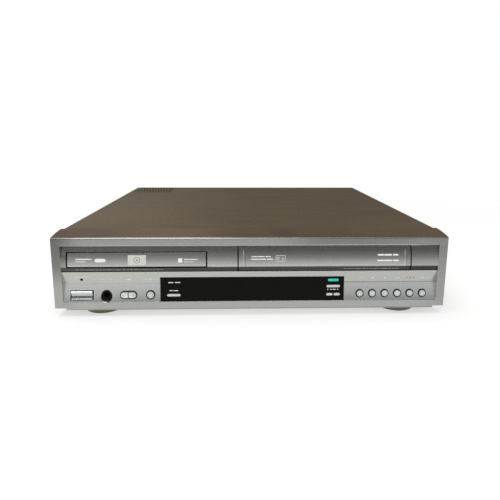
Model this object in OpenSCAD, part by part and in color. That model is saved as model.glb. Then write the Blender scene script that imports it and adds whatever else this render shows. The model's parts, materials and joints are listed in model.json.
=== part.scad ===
// Disc player and cassette recorder in one case, modelled piece by piece.
// Millimetres. X runs to the viewer's right, -Y is the front, +Z is up.
// The origin is on the surface it stands on, under the middle of the whole depth and width.
// Inside from_front() a module counts Y from the front face, so 0 is the face of the frame.

/* [Case] */
// Depth from the front face to the rear edge of the cover
case_d = 352; // [348:1:370]
// How far the front moulding stands out past the cover on each side
cover_inset = 0.5; // [0.5:0.5:3]
// Depth of the front moulding
bezel_d = 28; // [26:1:31]
// Thickness of the steel sheet
sheet_t = 1; // [0.8:0.1:1.2]
// Outer radius of the cover's bent edges
cover_bend_r = 4; // [3:0.5:6]
// Height of the case above the surface it stands on
foot_h = 10; // [9:0.5:12]
// How far the phono sockets stand out past the cover's rear edge
jack_out = 8; // [6:0.5:9]
// Gap that lets a fixed piece slip into its place
fit = 0.3; // [0.2:0.05:0.4]

/* [Feet] */
// Radius of a foot
foot_r = 21.5; // [18:0.5:23]
// Distance from the side of the front moulding to the middle of a foot
foot_in = 45.5; // [40:0.5:55]
// Distance from the front face to the middle of a front foot
foot_y = 29.5; // [29:0.5:40]
// Radius of the rubber pad under a foot
foot_pad_r = 13; // [10:0.5:15]
// Thickness of the rubber pad
foot_pad_t = 2; // [1.5:0.1:3]

/* [Front face] */
// Wall of the front moulding
wall = 2.4; // [2:0.1:2.8]
// How far the lip under the front hangs below the case
lip_drop = 2.4; // [1.5:0.1:3.5]
// Height of the bottom rail, lip included
rail_h = 9.3; // [8.5:0.1:11]
// Height of the lower face that holds the buttons
lower_face_h = 19.9; // [19:0.1:23]
// Height of the bright band over the lower face
band_h = 14.8; // [13:0.1:17]
// Height of the dark strip over the band
strip_h = 5; // [4:0.1:6]
// Height of the frame's top band
top_band_h = 8.8; // [7.5:0.1:11]
// Rise of the moulding's top from its front edge back to the cover
crown_h = 3.4; // [2.5:0.1:4.5]
// Width of the frame's column beside the recess
column_w = 9.2; // [8:0.1:12]
// Plain face between the left column and the tray's front
left_margin = 7.2; // [6.4:0.1:8]
// Plain face between the tray's front and the cassette door
middle_w = 35.6; // [32:0.1:40]
// Plain face between the cassette door and the right column
right_margin = 31.2; // [28:0.1:36]
// Depth of the crease between the band and the lower face
crease_in = 4.5; // [3.5:0.1:5]
// Depth of the lower face where it meets the rail
rail_in = 0.5; // [0.3:0.1:0.8]
// Depth of the dark strip behind the frame
strip_in = 1.2; // [0.8:0.1:1.6]
// Radius of the upper face's curve
bulge_r = 66; // [60:1:80]
// Radius of the frame's top front edge
edge_r = 1.4; // [1:0.1:2]

/* [Display window] */
// Distance from the tray button's middle to the window
window_left_gap = 10.8; // [10:0.1:12]
// Distance from the window to the first transport button's middle
window_right_gap = 18; // [16:0.1:20]
// Height of the window
window_h = 26.5; // [25:0.1:27]
// Wall of the window moulding
window_wall = 2; // [1.6:0.1:2.4]
// Length of the display tube
tube_w = 118; // [100:1:124]
// Height of the display tube
tube_h = 15; // [12:0.5:17]

/* [Buttons] */
// Travel of every button
button_travel = 0.8; // [0.5:0.1:1]
// Gap round a button in its hole
button_gap = 1.2; // [0.9:0.1:1.3]
// Height of the middle of the button row
button_z = 24.2; // [23.9:0.1:25]
// Radius of a transport button
transport_r = 3.4; // [3.2:0.1:3.8]
// Number of transport buttons
transport_n = 6; // [6:1:6]
// Distance from the first transport button's middle to the right column
transport_in = 85.5; // [84:0.1:88]
// Distance between transport buttons
transport_pitch = 14.1; // [12.6:0.1:14.6]
// Distance from the left column to the tray button's middle
tray_button_in = 94.5; // [93:0.1:97]
// Radius of the tray button
tray_button_r = 3.8; // [3.4:0.1:4]
// Distance from the left column to the middle of the level buttons
level_in = 70.5; // [68:0.1:72]
// Length of the pill-shaped hole of the level buttons
level_w = 18.8; // [17:0.1:19.4]
// Height of that hole
level_h = 9; // [8.6:0.1:9.6]
// Gap between the two level buttons
level_split = 0.6; // [0.4:0.1:0.8]
// Distance from the left column to the power button's middle
power_in = 20; // [18:0.1:21]
// Width of the power button's hole
power_w = 25.3; // [22:0.1:27]
// Height of the power button's hole
power_h = 11; // [10:0.1:12]
// Height of a small pill button in the window
pill_h = 3; // [2.6:0.1:3.4]
// Gap round a small pill button
pill_gap = 0.3; // [0.2:0.05:0.4]
// Width of the select button
select_w = 14.6; // [13:0.1:16]
// Distance from the window's left end to the select button's middle
select_in = 14.7; // [13:0.1:16]
// Width of the copy button
copy_w = 15; // [13:0.1:16]
// Distance from the window's right end to the middle of the copy button and the pair under it
copy_in = 12.1; // [11:0.1:14]
// Height of the copy button above the button row
copy_rise = 8.8; // [8:0.1:10]
// Width of one programme button
program_w = 7; // [6:0.1:7.2]
// Distance between the two programme buttons
program_pitch = 8.2; // [8:0.1:8.6]
// Distance from the left column to the headphone socket's middle
phones_in = 46.5; // [45:0.1:48]
// Radius of the headphone socket's hole in the front
phones_hole_r = 5.6; // [5.4:0.1:6]
// Radius of the bore that takes the headphone plug
phones_bore_r = 3.2; // [3.2:0.01:3.25]
// Depth of that bore
phones_bore_l = 15; // [14:0.5:16]
// Radius of the standby lamp
lamp_r = 1.4; // [1.1:0.1:1.8]
// Height of the lamp above the button row
lamp_rise = 17.4; // [17:0.1:18]

/* [Front board] */
// Distance from the front face to the front board
front_board_y = 13; // [12.8:0.1:14]
// Height of a switch body on the front board
switch_h = 3; // [2.8:0.1:3.2]
// Width of a switch body
switch_w = 6; // [5:0.1:6]
// Radius of a switch plunger
plunger_r = 1.7; // [1.4:0.1:1.9]
// Length of a switch plunger
plunger_l = 1.1; // [1:0.1:1.2]

/* [Boards] */
// Thickness of every circuit board
board_t = 1.6; // [1.2:0.1:1.8]
// Height of the boards over the chassis floor
board_rise = 7; // [6:0.5:7.5]
// Gap between the front of the rear boards and the decks
board_gap = 8; // [6:0.5:10]
// Room between a side of the case and the board beside it
side_room = 8.5; // [6:0.5:9]
// Width of the power supply board
supply_w = 135; // [120:1:140]
// Gap between the two boards at the back
supply_gap = 10; // [6:1:20]

/* [Disc] */
// Radius of a disc
disc_r = 60; // [60:0.1:60.1]
// Distance from the front face to the disc's middle, tray closed
disc_y = 92; // [91:0.5:93]
// Width of the tray's front
tray_front_w = 148.4; // [147:0.1:150]
// Height of the tray's front
tray_front_h = 16.1; // [15:0.1:16.6]
// Gap round the tray's front
tray_gap = 1.6; // [1:0.1:1.8]
// Width of the tray behind its front
tray_w = 132; // [131:0.5:133]
// Length of the tray behind its front
tray_l = 180; // [175:1:184]
// Thickness of the tray
tray_t = 6; // [5.5:0.1:6.4]
// Height of the tray's underside over the bottom of its front
tray_rise = 2.7; // [2.7:0.1:3]
// How far the tray slides out
tray_travel = 135; // [125:1:136]
// Tooth module of the tray's rack and gear
rack_m = 1; // [1:0.05:1]
// Number of teeth on the tray gear
gear_n = 18; // [18:1:18]
// Play between the rack's and the gear's teeth
backlash = 0.35; // [0.3:0.05:0.4]
// Radius of the belt groove under the tray gear
gear_pulley_r = 10.5; // [9:0.1:11]
// Radius of the motor pulley's belt groove
motor_pulley_r = 3; // [2.5:0.1:3.4]
// Sideways distance from the tray gear to the motor
motor_dx = 46; // [42:1:50]
// Radius of the tray motor
tray_motor_r = 9; // [8:0.1:9.5]
// Thickness of the belt
belt_t = 1.2; // [1:0.1:1.4]
// Radius of the turntable
turntable_r = 15; // [14:0.1:15.5]
// Rise of the turntable when the traverse lifts it to the disc
disc_lift = 5.6; // [5:0.1:6]
// Radius of the rods that carry the laser sled
rod_r = 1.5; // [1.2:0.1:1.8]
// Travel of the laser sled
sled_travel = 32; // [28:1:33]

/* [Cassette] */
// Width of a cassette
cassette_w = 188; // [188:0.1:188.2]
// Length of a cassette
cassette_l = 104; // [103:0.1:104]
// Thickness of a cassette
cassette_t = 25; // [25:0.1:25.2]
// Height of the slot beyond the cassette's thickness
entry_room = 3.4; // [3.2:0.1:3.8]
// Gap round the door at its sides
door_gap = 1.4; // [1:0.1:1.6]
// Gap over and under the door
door_gap_z = 0.8; // [0.7:0.1:0.9]
// Thickness of the door
door_t = 2.2; // [2:0.1:2.6]
// Radius of the door's hinge pins
hinge_pin_r = 1.25; // [1.1:0.05:1.4]
// Length of the carrier that holds the cassette
carrier_l = 78; // [72:1:80]
// Wall of the carrier
carrier_t = 1.2; // [1:0.1:1.4]
// How far the carrier takes the cassette in
carrier_in = 50; // [45:1:50]
// How far the carrier lowers it to the reels
carrier_down = 20.7; // [20:0.1:21]
// Radius of the head drum
drum_r = 31; // [30:0.1:31]
// Lean of the head drum
drum_tilt = 5.5; // [4:0.5:6]
// Distance between the middles of the two reels
reel_pitch = 92.4; // [91:0.1:93]
// Radius of a reel's table
reel_r = 22; // [20:0.5:24]
// Radius of a reel's hub
hub_r = 8; // [7:0.1:8.5]
// Radius of the capstan's flywheel
flywheel_r = 24; // [20:0.5:25]
// Radius of the capstan's shaft
capstan_r = 1.5; // [1.2:0.1:1.7]
// Radius of the pinch roller
pinch_r = 7; // [6:0.1:7.2]
// Length of the arm that holds the pinch roller
pinch_l = 28; // [27:0.5:29]

/* [Rear sockets] */
// Outer radius of a phono socket
phono_r = 4.15; // [4.1:0.01:4.2]
// Distance between phono sockets
phono_pitch = 15; // [13:0.5:16]
// Outer radius of an aerial socket
aerial_r = 4.75; // [4.6:0.05:4.9]
// Distance between the two 21-pin sockets
av_pitch = 58; // [56:0.5:62]
// Distance from the aerial sockets to the nearer 21-pin socket
av_in = 75; // [60:0.5:78]
// Width of a 21-pin socket
av_w = 47; // [45:0.5:49]
// Height of a 21-pin socket
av_h = 14; // [13:0.5:15]

/* [Hidden] */
$fn = 48;

// Radial clearance of a shaft that turns or slides in its bore
running = 0.05;
// How far a cut runs past the face that it opens
cut = 1;

// Widths and depths of the case; the two decks lie side by side across it
door_w = cassette_w + 1.2;
recess_x = (left_margin + tray_front_w + middle_w + door_w + right_margin) / 2;
bezel_w = 2 * (recess_x + column_w);
disc_x = -recess_x + left_margin + tray_front_w / 2;
cassette_x = recess_x - right_margin - door_w / 2;
total_d = case_d + jack_out;
cover_w = bezel_w - 2 * cover_inset;
inside_x = cover_w / 2 - sheet_t - fit;
cover_y = bezel_d + fit;
rear_y = case_d - sheet_t - fit;
floor_top = foot_h + sheet_t;

// Levels of the front face, from the bottom up
lip_z = foot_h - lip_drop;
rail_top = lip_z + rail_h;
crease_z = rail_top + lower_face_h;
strip_z = crease_z + band_h;
strip_top = strip_z + strip_h;
sill_z = strip_z - 0.6;
entry_top = sill_z + cassette_t + entry_room;
recess_top = entry_top + 0.9;
face_top = recess_top + top_band_h;
body_h = face_top + crown_h;
tray_z = strip_top + 0.2;

// Depth of the front surface at height z, face by face
function lower_in(z) = rail_in + (z - rail_top) / lower_face_h * (crease_in - rail_in);
function band_in(z) = crease_in - (z - crease_z) / band_h * (crease_in - rail_in);
function bulge_in(z) = bulge_r - sqrt(bulge_r * bulge_r - (z - strip_top) * (z - strip_top));
function bulge_curve(z0, z1, steps, back) = [
    for (i = [0:steps]) let (z = z0 + (z1 - z0) * i / steps) [bulge_in(z) + back, z]
];
function arc(cx, cy, r, a0, a1, steps) = [
    for (i = [0:steps]) let (a = a0 + (a1 - a0) * i / steps) [cx + r * cos(a), cy + r * sin(a)]
];

// The front surface of the recessed face as [depth, height] points, set back by the given amount
function face_line(back) = concat(
    [
        [rail_in + back, rail_top], [crease_in + back, crease_z], [rail_in + back, strip_z],
        [strip_in + back, strip_z], [strip_in + back, strip_top]
    ],
    bulge_curve(strip_top, recess_top, 8, back)
);
function reversed(list) = [for (i = [len(list) - 1:-1:0]) list[i]];

// Buttons end this far from the front face, so that a full press just reaches the switch
switch_y = front_board_y - switch_h - plunger_l;
stem_y = switch_y - button_travel - 0.1;
flange_t = 1.4;
power_x = -recess_x + power_in;
phones_x = -recess_x + phones_in;
level_x = -recess_x + level_in;
tray_button_x = -recess_x + tray_button_in;
transport_x = recess_x - transport_in;
window_x0 = tray_button_x + window_left_gap;
window_x1 = transport_x - window_right_gap;
select_x = window_x0 + select_in;
copy_x = window_x1 - copy_in;
window_z = rail_top + 0.2;
window_top = window_z + window_h;
window_in0 = 1;
window_in1 = 2.2;
function window_in(z) = window_in0 + (z - window_z) / window_h * (window_in1 - window_in0);
program_z = button_z - 0.5;
select_z = button_z - 0.3;
copy_z = button_z + copy_rise;

// Disc deck
tray_under = tray_z + tray_rise;
tray_y = 5;
tray_top = tray_under + tray_t;
well_z = tray_under + 2.5;
deck_w = tray_w + 16;
deck_y0 = 24;
deck_y1 = disc_y + 113;
deck_z = tray_under - 13.5;
deck_t = 2;
rail_z1 = tray_top + 4.5;
gear_r = rack_m * gear_n / 2;
rack_x = disc_x - tray_w / 2 + 8;
gear_x = rack_x + gear_r;
gear_y = deck_y0 + gear_r + 1;
gear_z0 = tray_z - 0.3;
gear_z1 = tray_under - 0.3;
pulley_z0 = deck_z + deck_t + 0.3;
pulley_h = 3.4;
window_half = 26;
traverse_x = 48;
traverse_y0 = disc_y - 34;
traverse_y1 = disc_y + 94;
traverse_z = tray_under - 10.5;
traverse_t = 2;
tilt_y = traverse_y1 - 2;
tilt_z = traverse_z + traverse_t / 2;
tilt_pin_r = 1.5;
turntable_z = tray_under - 1.9;
sled_y = disc_y + 17;
sled_l = 28;
sled_x = 18;
rod_x = sled_x + 3;
rod_z = traverse_z + traverse_t + 2.6;
sled_top = tray_under - 1.5;

// Cassette deck
door_x0 = cassette_x - door_w / 2;
door_x1 = cassette_x + door_w / 2;
door_z0 = sill_z + door_gap_z;
door_z1 = entry_top - door_gap_z;
hinge_y = 8;
hinge_z = entry_top + 1.1;
lug_r = 2.4;
lug_w = 2.6;
ear_w = 3.2;
cassette_z = sill_z + 0.7;
cage_y0 = 40;
cage_y1 = cage_y0 + carrier_l;
cage_x = cassette_w / 2 + 0.7;
cage_top = cassette_z + cassette_t + 0.7;
slider_x = cage_x + carrier_t + 0.5;
slider_t = 1.6;
slider_top = cage_top + carrier_t + 4.6;
guide_x = slider_x + slider_t + 0.6;
guide_t = 1.5;
guide_y1 = cage_y1 + carrier_in + 8;
deck2_z = cassette_z - carrier_down - 7;
deck2_t = 2;
deck2_top = deck2_z + deck2_t;
deck2_x = guide_x + guide_t + 5;
drum_y = cage_y1 + carrier_in + 41;
deck2_y1 = drum_y + drum_r + 15;
reel_y = cage_y1 + carrier_in - 52;
capstan_x = cassette_x + 60;
capstan_y = drum_y - 25;
pinch_x = capstan_x + 18;
pinch_y = capstan_y + 28;
pin_lift = 11.5;
pin_y0 = cage_y0 + 20;
pin_y1 = cage_y1 - 20;
pin_r = 1.5;
slot_half = 1.8;
runner_z = cage_top - 11.6;
runner_h = 3;
runner_out = 1.8;

// Boards at the back
board_z = floor_top + board_rise;
board_y0 = deck2_y1 + board_gap;
board_y1 = rear_y - sheet_t - 4;
supply_x0 = -inside_x + side_room;
supply_x1 = supply_x0 + supply_w;
main_x0 = supply_x1 + supply_gap;
main_x1 = inside_x - side_room;
supply_y0 = deck_y1 + 20;

module from_front() {
    translate([0, -total_d / 2, 0]) children();
}

// Extrudes a [depth, height] outline along X
module along_x(x0, x1) {
    translate([x0, 0, 0]) rotate([90, 0, 90]) linear_extrude(x1 - x0) children();
}

// Extrudes an [x, height] outline along Y
module along_y(y0, y1) {
    translate([0, y1, 0]) rotate([90, 0, 0]) linear_extrude(y1 - y0) children();
}

module block(x0, x1, y0, y1, z0, z1) {
    translate([x0, y0, z0]) cube([x1 - x0, y1 - y0, z1 - z0]);
}

// A cylinder along Y between two depths
module rod_y(x, z, r, y0, y1) {
    translate([x, y1, z]) rotate([90, 0, 0]) cylinder(h = y1 - y0, r = r);
}

// A cylinder along X
module rod_x_axis(y, z, r, x0, x1) {
    translate([x0, y, z]) rotate([0, 90, 0]) cylinder(h = x1 - x0, r = r);
}

module rod_z_axis(x, y, r, z0, z1) {
    translate([x, y, z0]) cylinder(h = z1 - z0, r = r);
}

// Children that lie on the +X side, and their mirror images
module both_sides() {
    children();
    mirror([1, 0, 0]) children();
}

// A flat pill with its middle at the origin
module pill(w, h) {
    square([w - h, h], center = true);
    for (side = [-1, 1]) translate([side * (w - h) / 2, 0]) circle(h / 2);
}

/* Case */

cover_vent_cols = 13;
cover_vent_rows = 5;
cover_vent_pitch = 5.2;
cover_vent_row = 11.5;
cover_vent_w = 2.8;
cover_vent_l = 8.4;
cover_vent_x = -cover_w / 2 + 13;
cover_vent_y = case_d - 10;

module cover_outline(inset) {
    half = cover_w / 2 - inset;
    top = body_h - inset;
    r = cover_bend_r - inset;
    translate([-half, foot_h]) square([2 * half, top - r - foot_h]);
    translate([-half + r, foot_h]) square([2 * (half - r), top - foot_h]);
    for (side = [-1, 1]) translate([side * (half - r), top - r]) circle(r);
}

module cover_section() {
    difference() {
        cover_outline(0);
        cover_outline(sheet_t);
        translate([-cover_w / 2 + sheet_t, foot_h - cut]) square([cover_w - 2 * sheet_t, 2 * cut]);
    }
}

module cover_vent() {
    for (row = [0:cover_vent_rows - 1])
        for (col = [0:cover_vent_cols - 1 - row % 2])
            translate([
                cover_vent_x + (col + (row % 2) / 2) * cover_vent_pitch,
                cover_vent_y - row * cover_vent_row,
                body_h - sheet_t - cut
            ])
                linear_extrude(sheet_t + 2 * cut) rotate(90) pill(cover_vent_l, cover_vent_w);
}

screw_r = 1.4;
screw_head_r = 3.4;
screw_head_h = 0.45;
side_screw_y = [90, 290];
side_screw_z = foot_h + 14;
rear_flange_h = 10;
rear_screw_x = [62 - cover_w / 2, 0, cover_w / 2 - 62];
rear_screw_z = body_h - sheet_t - 5;

module top_cover() {
    color("#6b6050") from_front() difference() {
        union() {
            along_y(cover_y, case_d) cover_section();
            block(-cover_w / 2 + cover_bend_r + 2, cover_w / 2 - cover_bend_r - 2,
                case_d - sheet_t, case_d, body_h - rear_flange_h, body_h - sheet_t / 2);
        }
        cover_vent();
        for (y = side_screw_y)
            rod_x_axis(y, side_screw_z, screw_r + fit, -cover_w / 2 - cut, cover_w / 2 + cut);
        for (x = rear_screw_x)
            rod_y(x, rear_screw_z, screw_r + fit, case_d - 2 * cut - sheet_t, case_d + cut);
    }
}

side_flange_h = 22;
floor_vent_n = 10;
floor_vent_pitch = 9;
bead_h = 1.2;
boss_r = 3.5;

module board_bosses(x0, x1, y0, y1) {
    for (x = [x0 + 6, x1 - 6])
        for (y = [y0 + 6, y1 - 6])
            rod_z_axis(x, y, boss_r, floor_top - sheet_t / 2, board_z);
}

// A long stiffening bead pressed up into the floor
module floor_bead(x, y0, y1) {
    along_y(y0, y1)
        translate([x, floor_top])
            polygon([[-6, -sheet_t / 2], [6, -sheet_t / 2], [4, bead_h], [-4, bead_h]]);
}

module bottom_chassis() {
    color("#b9bcbd") from_front() difference() {
        union() {
            block(-inside_x, inside_x, cover_y, rear_y, foot_h, floor_top);
            both_sides()
                block(inside_x - sheet_t, inside_x, cover_y, rear_y - sheet_t - fit,
                    foot_h, foot_h + side_flange_h);
            floor_bead(disc_x, traverse_y0, deck_y1 - 10);
            floor_bead(cassette_x, reel_y - 50, drum_y);
            board_bosses(main_x0, main_x1, board_y0, board_y1);
            board_bosses(supply_x0, supply_x1, supply_y0, board_y1);
        }
        for (i = [0:floor_vent_n - 1])
            translate([supply_x0 + 24 + i * floor_vent_pitch, (supply_y0 + board_y1) / 2, foot_h - cut])
                linear_extrude(sheet_t + 2 * cut) rotate(90) pill(56, 4);
        for (y = side_screw_y)
            rod_x_axis(y, side_screw_z, screw_r + running, -cover_w / 2, cover_w / 2);
    }
}

rear_vent_n = 16;
rear_vent_pitch = 6;
av_z = board_z + board_t + av_h / 2 + 4;
aerial_x = main_x1 - 18;
av_x = [aerial_x - av_in - av_pitch, aerial_x - av_in];
aerial_z = [board_z + board_t + 12, board_z + board_t + 34];
phono_x = main_x0 + 14;
phono_z = board_z + board_t + 12;
phono_collar_r = phono_r + 1.2;
inlet_x = supply_x0 + 30;
inlet_z = board_z + board_t + 12;
inlet_w = 22;
inlet_h = 14;

module rear_panel() {
    color("#c2c4c4") from_front() difference() {
        along_y(rear_y - sheet_t, rear_y)
            difference() {
                cover_outline(sheet_t + 2 * fit);
                translate([-cover_w / 2, 0]) square([cover_w, floor_top]);
            }
        for (x = av_x)
            block(x - av_w / 2 - fit, x + av_w / 2 + fit, rear_y - sheet_t - cut, rear_y + cut,
                av_z - av_h / 2 - fit, av_z + av_h / 2 + fit);
        for (z = aerial_z)
            rod_y(aerial_x, z, aerial_r + fit, rear_y - sheet_t - cut, rear_y + cut);
        for (col = [0:2])
            for (row = [0:1])
                rod_y(phono_x + col * phono_pitch, phono_z + row * phono_pitch, phono_collar_r + fit,
                    rear_y - sheet_t - cut, rear_y + cut);
        block(inlet_x - inlet_w / 2 - fit, inlet_x + inlet_w / 2 + fit, rear_y - sheet_t - cut, rear_y + cut,
            inlet_z - inlet_h / 2 - fit, inlet_z + inlet_h / 2 + fit);
        for (i = [0:rear_vent_n - 1])
            translate([supply_x0 + 22 + i * rear_vent_pitch, 0, body_h - 30])
                along_y(rear_y - sheet_t - cut, rear_y + cut) rotate(90) pill(20, 3);
        for (x = rear_screw_x)
            rod_y(x, rear_screw_z, screw_r + running, rear_y - sheet_t - cut, rear_y + cut);
    }
}

module case_screw() {
    rotate_extrude()
        polygon(concat(
            [[0, -5], [screw_r, -5], [screw_r, 0], [screw_head_r, 0]],
            arc(screw_head_r - 0.3, 0.1, 0.3, 0, 80, 4),
            [[0.9, screw_head_h - 0.05], [0.9, screw_head_h - 0.7], [0, screw_head_h - 0.7]]
        ));
}

module case_screws() {
    color("#3d3b38") from_front() {
        for (y = side_screw_y) {
            translate([cover_w / 2, y, side_screw_z]) rotate([0, 90, 0]) case_screw();
            translate([-cover_w / 2, y, side_screw_z]) rotate([0, -90, 0]) case_screw();
        }
        for (x = rear_screw_x)
            translate([x, case_d, rear_screw_z]) rotate([-90, 0, 0]) case_screw();
    }
}

foot_x = bezel_w / 2 - foot_in;
foot_places = [
    [-foot_x, foot_y], [foot_x, foot_y], [-foot_x, case_d - foot_y - 4], [foot_x, case_d - foot_y - 4]
];

module feet() {
    color("#4d4a44") from_front() for (p = foot_places)
        translate([p[0], p[1], 0]) rotate_extrude()
            polygon(concat(
                [[0, foot_pad_t], [foot_pad_r + fit, foot_pad_t], [foot_pad_r + fit, foot_pad_t - 0.8],
                    [foot_r - 4, foot_pad_t - 0.8]],
                arc(foot_r - 3, foot_pad_t + 2.2, 3, -80, 0, 6),
                [[foot_r, foot_h], [0, foot_h]]
            ));
}

module foot_pads() {
    color("#262524") from_front() for (p = foot_places)
        translate([p[0], p[1], 0]) rotate_extrude()
            polygon([
                [0, 0], [foot_pad_r - 0.6, 0], [foot_pad_r, 0.6], [foot_pad_r, foot_pad_t], [0, foot_pad_t]
            ]);
}

/* Front moulding */

function crown_in(t) = bezel_d * t;
function crown_z(t) = face_top + crown_h * sin(90 * t);
crown_steps = 6;
lip_d = 5;

// The moulding's outer section: lip, front face, rounded edge and crowned top
function bezel_outline() = concat(
    [
        [bezel_d, foot_h], [lip_d + 2, foot_h], [lip_d, lip_z + 0.6], [lip_d - 0.6, lip_z],
        [0.6, lip_z], [0, lip_z + 0.6]
    ],
    arc(edge_r, face_top - edge_r, edge_r, 180, 110, 5),
    [for (i = [1:crown_steps]) [crown_in(i / crown_steps), crown_z(i / crown_steps)]]
);

// The hollow behind the recessed face, open to the back
function face_hollow() = concat(
    [
        [bezel_d + cut, foot_h + wall], [wall, foot_h + wall], [wall, rail_top - wall],
        [rail_in + wall, rail_top - wall]
    ],
    face_line(wall),
    [
        [bulge_in(recess_top) + wall, recess_top + wall], [wall, recess_top + wall],
        [wall, face_top - wall]
    ],
    [for (i = [1:crown_steps]) [crown_in(i / crown_steps), crown_z(i / crown_steps) - wall]],
    [[bezel_d + cut, body_h - wall]]
);

function column_hollow() = concat(
    [[bezel_d + cut, foot_h + wall], [wall, foot_h + wall], [wall, face_top - wall]],
    [for (i = [1:crown_steps]) [crown_in(i / crown_steps), crown_z(i / crown_steps) - wall]],
    [[bezel_d + cut, body_h - wall]]
);

module bezel_shell() {
    difference() {
        along_x(-bezel_w / 2, bezel_w / 2) polygon(bezel_outline());
        along_x(-recess_x, recess_x)
            polygon(concat([[-cut, rail_top]], face_line(0), [[-cut, recess_top]]));
        along_x(-recess_x, recess_x) polygon(face_hollow());
        both_sides() {
            along_x(recess_x + wall, bezel_w / 2 - wall) polygon(column_hollow());
            block(recess_x - 3, bezel_w / 2 + cut, -cut, bezel_d + cut, lip_z - cut, foot_h);
        }
    }
}

tongue_l = 8;
tongue_t = 1.6;
hook_x = [disc_x - 35, disc_x + 35, cassette_x - 40, cassette_x + 50];
post_x = [phones_x - 8.7, tray_button_x + 3.3, window_x1 + 7.7, recess_x - 9.8];
post_z = crease_z + 8;
post_r = 3;

// Tongues under the cover's front edge, hooks over the chassis floor and posts for the board
module bezel_mountings() {
    for (x = hook_x) {
        block(x - 12, x + 12, bezel_d - 3, bezel_d + tongue_l, floor_top + 0.2, foot_h + wall);
        block(x - 12, x + 12, bezel_d - 3, bezel_d + tongue_l,
            body_h - sheet_t - fit - tongue_t, body_h - sheet_t - fit);
    }
    for (x = post_x)
        rod_y(x, post_z, post_r, band_in(post_z) + wall - cut, front_board_y);
    for (x = [door_x0 - ear_w - door_gap_z, door_x1 + door_gap_z])
        block(x, x + ear_w, hinge_y - 3, hinge_y + 3.2, hinge_z - 3.4, recess_top + wall);
}

module face_hole(x, z, r) {
    rod_y(x, z, r, -cut, crease_in + wall + cut);
}

module bezel_openings() {
    // Tray slot and cassette slot
    block(disc_x - tray_front_w / 2 - tray_gap, disc_x + tray_front_w / 2 + tray_gap, -cut, bezel_d,
        tray_z - 1.4, tray_z + tray_front_h + 0.7);
    block(door_x0 - door_gap, door_x1 + door_gap, -cut, hinge_y - 3, sill_z, entry_top);
    block(door_x0 - door_gap_z, door_x1 + door_gap_z, -cut, bezel_d, sill_z, entry_top);
    // Room for the door's lugs
    for (x = [door_x0 - door_gap_z, door_x1 - lug_w - 0.6])
        block(x, x + lug_w + door_gap_z + 0.6, hinge_y - 3, bezel_d, entry_top - cut, hinge_z + 3);
    rod_x_axis(hinge_y, hinge_z, hinge_pin_r + running, door_x0 - ear_w - door_gap_z - 0.5, door_x0);
    rod_x_axis(hinge_y, hinge_z, hinge_pin_r + running, door_x1, door_x1 + ear_w + door_gap_z + 0.5);
    // Display window
    block(window_x0 - 0.2, window_x1 + 0.2, -cut, crease_in + wall + cut, rail_top, window_top + 0.2);
    // Buttons, lamp and headphone socket
    for (i = [0:transport_n - 1])
        face_hole(transport_x + i * transport_pitch, button_z, transport_r + button_gap);
    face_hole(tray_button_x, button_z, tray_button_r + button_gap);
    face_hole(phones_x, button_z, phones_hole_r);
    translate([phones_x, lower_in(button_z) + 0.9, button_z]) rotate([90, 0, 0])
        cylinder(h = 3, r1 = phones_hole_r - 0.1, r2 = phones_hole_r + 2.9);
    face_hole(power_x, button_z + lamp_rise, lamp_r + 0.2);
    along_y(-cut, crease_in + wall + cut) translate([level_x, button_z]) pill(level_w, level_h);
    block(power_x - power_w / 2, power_x + power_w / 2, -cut, crease_in + wall + cut,
        button_z - power_h / 2, button_z + power_h / 2);
}

module front_bezel() {
    color("#b4b6b0") from_front() difference() {
        union() {
            bezel_shell();
            bezel_mountings();
        }
        bezel_openings();
    }
}

module display_window() {
    x0 = window_x0;
    x1 = window_x1;
    flange_y = crease_in + wall + fit;
    color("#161713") from_front() difference() {
        union() {
            along_x(x0, x1)
                polygon([
                    [window_in0, window_z], [window_in1, window_top], [flange_y + 1, window_top],
                    [flange_y + 1, window_z]
                ]);
            block(x0 - 2, x1 + 2, flange_y, flange_y + 1.2, rail_top + 1, window_top - 1);
        }
        along_x(x0 + window_wall, x1 - window_wall)
            polygon([
                [window_in(window_z + 1.5) + window_wall, window_z + 1.5],
                [window_in(window_top - 1.5) + window_wall, window_top - 1.5],
                [flange_y + 2 * cut, window_top - 1.5], [flange_y + 2 * cut, window_z + 1.5]
            ]);
        for (b = window_buttons)
            along_y(-cut, flange_y) translate([b[0], b[1]]) pill(b[2] + 2 * pill_gap, pill_h + 2 * pill_gap);
    }
}

window_buttons = [
    [select_x, select_z, select_w], [copy_x, copy_z, copy_w],
    [copy_x - program_pitch / 2, program_z, program_w], [copy_x + program_pitch / 2, program_z, program_w]
];

module standby_lamp() {
    z = button_z + lamp_rise;
    y = band_in(z);
    color("#1b1b1d") from_front() {
        translate([power_x, y + wall + fit, z]) rotate([90, 0, 0])
            rotate_extrude()
                polygon(concat(
                    [[0, 0], [lamp_r, 0]], arc(lamp_r - 0.9, wall - 0.6, 0.9, 0, 90, 4), [[0, wall + 0.3]]
                ));
        rod_y(power_x, z, lamp_r + 1, crease_in + wall + fit, crease_in + wall + fit + 1);
        rod_y(power_x, z, lamp_r, y + wall, front_board_y);
    }
}

/* Buttons */

collar_top = button_z + 7;

// The space behind the lower face, from a fit gap behind it to the given depth
module behind_lower_face(x0, x1, depth) {
    along_x(x0, x1)
        polygon([
            [lower_in(rail_top) + wall + fit, rail_top], [lower_in(collar_top) + wall + fit, collar_top],
            [depth, collar_top], [depth, rail_top]
        ]);
}

module button_stem(x, z) {
    rod_y(x, z, plunger_r, lower_in(button_z) + wall, stem_y);
}

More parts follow.
